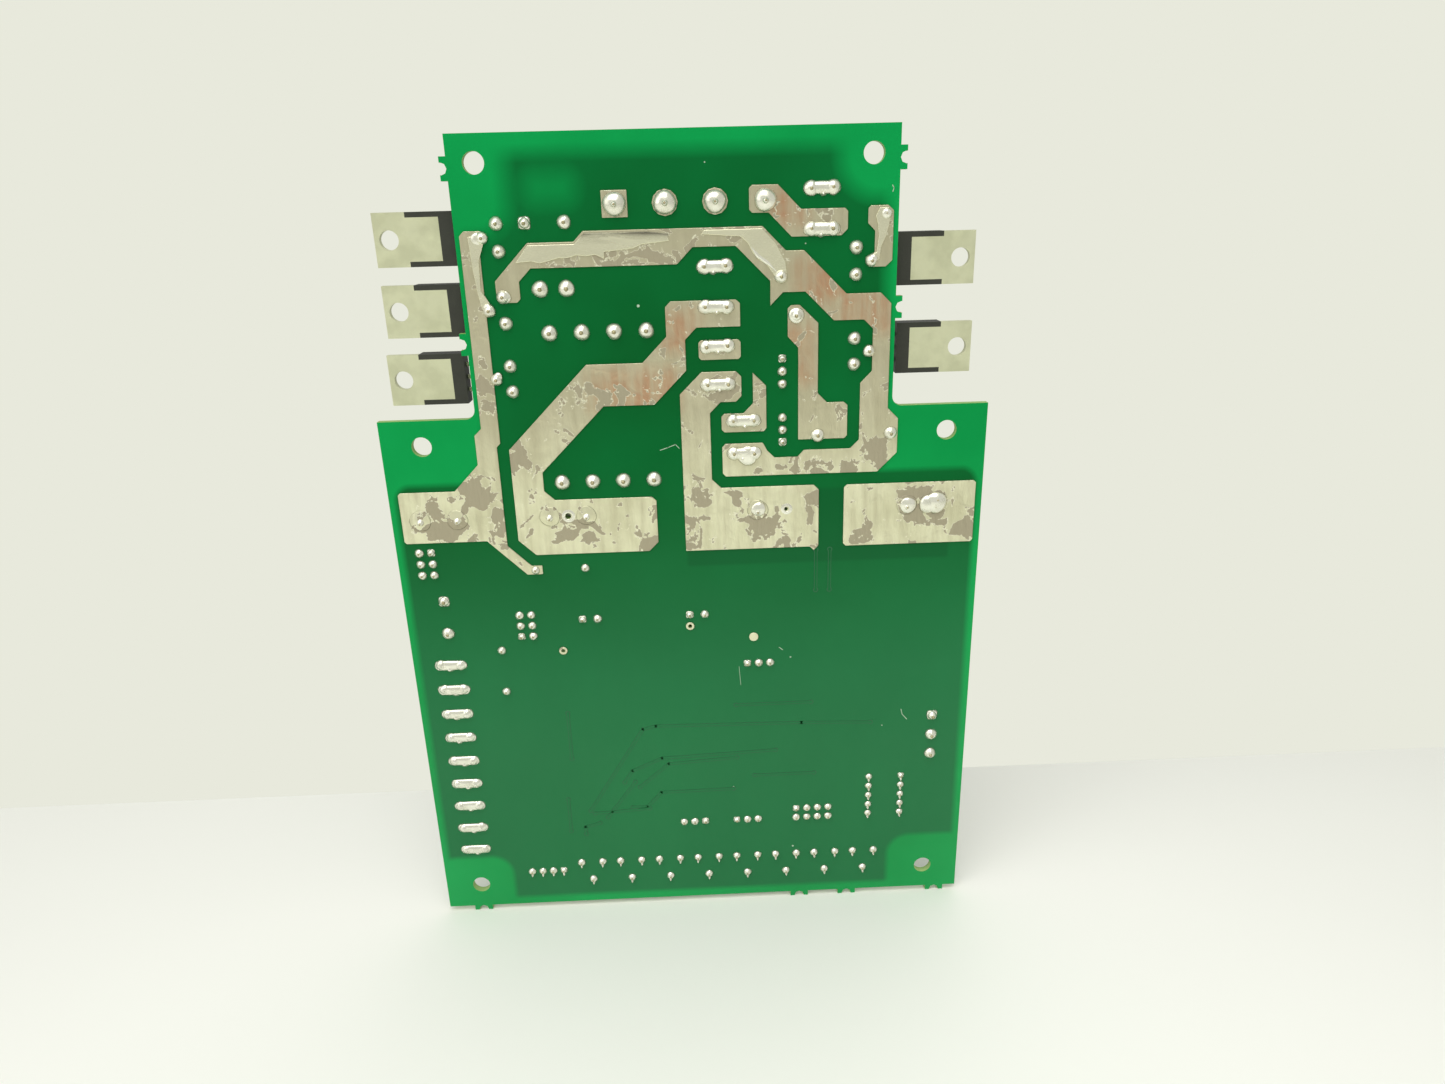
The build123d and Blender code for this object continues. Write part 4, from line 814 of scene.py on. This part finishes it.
# %% Finishes on the component side's nodes
for name, material, edge_mm in (
        ("power_tabs", tinned_brass, 0.08), ("control_tabs", tinned_brass, 0.08),
        ("fuse_clips", tinned_brass, 0.06), ("strip_straps", tinned_brass, 0.1),
        ("strip_screws", zinc, 0.25), ("side_terminal_screws", zinc, 0.12),
        ("terminal_strip", black_nylon, 0.25), ("side_terminal", green_nylon, 0.2),
        ("switch_case", red_case, 0.12), ("header_strips", black_nylon, 0.12),
        ("jumper_caps", blue_case, 0.15), ("header_posts", gold, 0.06),
        ("transformer_former", brown_former, 0.15), ("part_leads", wire_tin, 0.1),
        ("chip_bodies", epoxy, 0.06), ("chip_legs", wire_tin, 0.0),
        ("small_part_bodies", epoxy, 0.05), ("small_part_ends", wire_tin, 0.06),
        ("trimmer_cups", blue_case, 0.12), ("line_fuse_wire", wire_tin, 0.05)):
    finish_node(name, material, edge_mm)
for name in sorted(nodes):
    if name.startswith(("switch_slider", "trimmer_rotor")):
        finish_node(name, white_nylon, 0.08)

# %% [markdown]
# Round parts were drawn with few sides in the CAD model. Here they are turned again from a
# profile, with the rims, rolls and grooves that the real ones have.

# %% Turned parts
def turned(work, centre, direction, profile, around=40):
    """Turns a profile of (along, radius) pairs, in metres, round an axis through the centre."""
    turn = Vector((0, 0, 1)).rotation_difference(Vector(direction)).to_matrix()
    rows = []
    for along, radius in profile:
        rows.append([work.verts.new(Vector(centre) + turn @ Vector((
            radius * math.cos(math.tau * i / around), radius * math.sin(math.tau * i / around), along)))
            for i in range(around)])
    for low, high in zip(rows, rows[1:]):
        for i in range(around):
            j = (i + 1) % around
            work.faces.new((low[i], low[j], high[j], high[i]))
    work.faces.new(list(reversed(rows[0])))
    work.faces.new(rows[-1])


def rounded_rod(length, radius, edge, steps=4, swell=0.0):
    """The profile of a rod with rounded ends, narrower by swell at its middle."""
    half, straight = length / 2, length - 2 * edge
    quarter = [math.pi / 2 * i / steps for i in range(steps + 1)]
    low = [(-half + edge * (1 - math.sin(a)), radius - edge * (1 - math.cos(a))) for a in reversed(quarter)]
    waist = [(-straight / 2 + straight * share, radius - swell * math.sin(math.pi * share) ** 0.5)
             for share in (0.1, 0.25, 0.5, 0.75, 0.9)]
    high = [(-along, r) for along, r in reversed(low)]
    return low + waist + high


# %% [markdown]
# Capacitors in cans: a printed sleeve shrunk over an aluminium cup, which is rolled in above its
# rubber foot and scored on top so that it can vent. The pale stripe marks the negative side.

# %% Electrolytic cans
sleeve = moulded("sleeve_pvc_shrunk", "#22262B", "#2C3036", 0.35, 2.0)
stripe = moulded("sleeve_ink_pale_grey", "#A9ADAB", "#B7BAB6", 0.4, 1.5)
aluminium = plated("aluminium_drawn_cup", "#C6C7C7", "#B5B6B5", 0.33)
score = moulded("score_line_shadow", "#5B5C5B", "#666766", 0.5)
# Steps of the profile in millimetres: above the foot or below the top, and in from the full radius
can_foot = [(0, 0.9), (0, 0.35), (0.25, 0.05), (0.9, 0), (1.4, 0.35), (1.75, 0.45), (2.1, 0.35), (2.6, 0)]
can_rim = [(0.5, 0), (0.15, 0.12), (0, 0.45), (0, 0.9), (0.15, 1.0)]
work = bmesh.new()
for points in islands("electrolytic_cans"):
    low, high = span(points)
    centre = (low + high) / 2
    r, tall = (high.x - low.x) / 2, high.y - low.y
    foot = -tall / 2
    profile = [(foot + rise * MM, r - inset * MM) for rise, inset in can_foot] + [(0.0, r)]
    profile += [(-foot - fall * MM, r - inset * MM) for fall, inset in can_rim]
    turned(work, centre, (0, 1, 0), profile, 48)
    top = high.y - 0.15 * MM
    for face in work.faces:
        middle = face.calc_center_median() - centre
        if abs(middle.x) <= r and abs(middle.z) <= r and face.material_index == 0:
            across = math.hypot(middle.x, middle.z)
            if middle.y > tall / 2 - 0.3 * MM and across < r - 0.8 * MM:
                face.material_index = 2
            elif across > r * 0.8 and middle.x > r * 0.86 and middle.y < tall / 2 - 0.3 * MM:
                face.material_index = 1
    for turn in (0, 120, 240):
        run = Vector((math.cos(math.radians(turn)), 0, math.sin(math.radians(turn)))) * (r - 1.5 * MM)
        side = Vector((-run.z, 0, run.x)).normalized() * 0.1 * MM
        lift = Vector((centre.x, top + 0.03 * MM, centre.z))
        line = work.faces.new([work.verts.new(lift + v) for v in (side, run + side, run - side, -side)])
        line.material_index = 3
piece("cans_sleeved", work, [sleeve, stripe, aluminium, score],
      stands_for=["electrolytic_cans"])

# %% [markdown]
# The surge discs are ceramic, dipped in a coloured coating that rounds their rims.

# %% Surge discs
coat = moulded("epoxy_dip_coating_green", "#3E6B3A", "#4A7A44", 0.38, 2.0, 0.2)
work = bmesh.new()
for points in islands("surge_discs"):
    low, high = span(points)
    size = high - low
    along = (0, 0, 1) if size.z < size.x else (1, 0, 0)
    turned(work, (low + high) / 2, along, rounded_rod(min(size.x, size.z), size.y / 2, 1.5 * MM, 6), 56)
piece("surge_discs_coated", work, [coat], stands_for=["surge_discs"])

# %% [markdown]
# Fuses: drawn nickel-plated caps crimped on a glass tube, or on a ceramic one for the motor.

# %% Fuses
def rods(name, new_name, material, edge_mm, swell_mm=0.0):
    """Turns each solid of a node again as a rod along X with rounded ends."""
    work = bmesh.new()
    for points in islands(name):
        low, high = span(points)
        rod = rounded_rod(high.x - low.x, (high.z - low.z) / 2, edge_mm * MM, 4, swell_mm * MM)
        turned(work, (low + high) / 2, (1, 0, 0), rod)
    return piece(new_name, work, [material], stands_for=[name])


rods("fuse_caps", "fuse_caps_drawn", nickel, 0.6)
ceramic, shader, place = surface("ceramic_tube_fired", "#D8D2C2", roughness=0.55)
feed(ceramic, shader, "Base Color", blend(ceramic, grain(ceramic, place, 3, 4), "#DAD4C5", "#CBC4B2"))
relief(ceramic, shader, grain(ceramic, place, 0.3, 3), 0.03)
rods("motor_fuse_tube", "motor_fuse_tube_fired", ceramic, 0.15)
glass, shader, place = surface("soda_lime_glass_drawn", "#F2F6F2", roughness=0.02, IOR=1.52)
shader.inputs["Transmission Weight"].default_value = 1.0
drawn = grain(glass, place, 2, 2, stretch=(6, 1, 1))
feed(glass, shader, "Roughness", levels(glass, drawn, 0.3, 0.7, 0.0, 0.04))
tube_wall = 0.5 * MM
low, high = span(islands("line_fuse_glass")[0])
half, r = (high.x - low.x) / 2, (high.z - low.z) / 2
work = bmesh.new()
tube = [(-half, r), (half, r), (half, r - tube_wall), (-half, r - tube_wall), (-half, r)]
turned(work, (low + high) / 2, (1, 0, 0), tube, 48)
bmesh.ops.delete(work, geom=[f for f in work.faces if len(f.verts) > 4], context="FACES_ONLY")
bmesh.ops.remove_doubles(work, verts=work.verts, dist=1e-7)
piece("line_fuse_glass_drawn", work, [glass], stands_for=["line_fuse_glass"])

# %% [markdown]
# The resistors are ceramic rods with a baked coat, slightly thicker over their end caps. The
# diode is moulded, with a pale band at its cathode.

# %% Resistors and diode
def banded(faces, choose, index):
    """Gives another material to the faces whose middle passes the test."""
    for face in faces:
        if choose(face.calc_center_median()):
            face.material_index = index


baked = moulded("baked_coating_grey_blue", "#6E8490", "#7D929C", 0.5, 2.0)
rods("axial_resistors", "axial_resistors_coated", baked, 0.7, 0.25)
work = bmesh.new()
low, high = span(islands("diode")[0])
rod = rounded_rod(high.z - low.z, (high.x - low.x) / 2, 0.3 * MM, 3)
turned(work, (low + high) / 2, (0, 0, 1), rod, 32)
band_low = high.z - 1.5 * MM
band_high = band_low + 0.7 * MM
for cut in (band_low, band_high):
    whole = work.verts[:] + work.edges[:] + work.faces[:]
    bmesh.ops.bisect_plane(work, geom=whole, plane_co=(0, 0, cut), plane_no=(0, 0, 1))
banded(work.faces, lambda middle: band_low < middle.z < band_high, 1)
piece("diode_moulded", work, [epoxy, stripe], stands_for=["diode"])

# %% [markdown]
# The transformer's core is a stack of silicon steel sheets half a millimetre thick, varnished.
# Lines along its stack draw the sheets. Its coils are wound under layers of amber tape.

# %% Transformer, film capacitors
steel, shader, place = surface("silicon_steel_sheets_varnished", "#4A4A48", metallic=0.7, roughness=0.45)
sheet_mm, wave_scale = 0.5, 20
sheets = node(steel, "ShaderNodeTexWave", {"Vector": place}, bands_direction="Y",
              Scale=math.tau / (wave_scale * sheet_mm * MM)).outputs["Fac"]
worn = grain(steel, place, 3, 4)
feed(steel, shader, "Base Color", blend(steel, levels(steel, sheets, 0.1, 0.5), "#2E2D2B", "#5C5B57"))
feed(steel, shader, "Roughness", levels(steel, worn, 0.3, 0.7, 0.38, 0.6))
relief(steel, shader, sheets, 0.05)
finish_node("transformer_core", steel, 0.12)
tape, shader, place = surface("polyester_tape_wound", "#C9962E", roughness=0.3)
wraps = grain(tape, place, 0.8, 3, stretch=(8, 8, 1))
feed(tape, shader, "Base Color", blend(tape, levels(tape, wraps, 0.4, 0.6), "#C08A22", "#D6A843"))
relief(tape, shader, wraps, 0.06)
finish_node("transformer_coils", tape, 0.5)
film_box = moulded("film_capacitor_box_yellow", "#CFA92F", "#DCB840", 0.35, 2.0)
finish_node("film_capacitors", film_box, 0.3)

# %% [markdown]
# At the end the view layer is updated, so that every piece's place is current.

# %% The end
bpy.context.view_layer.update()
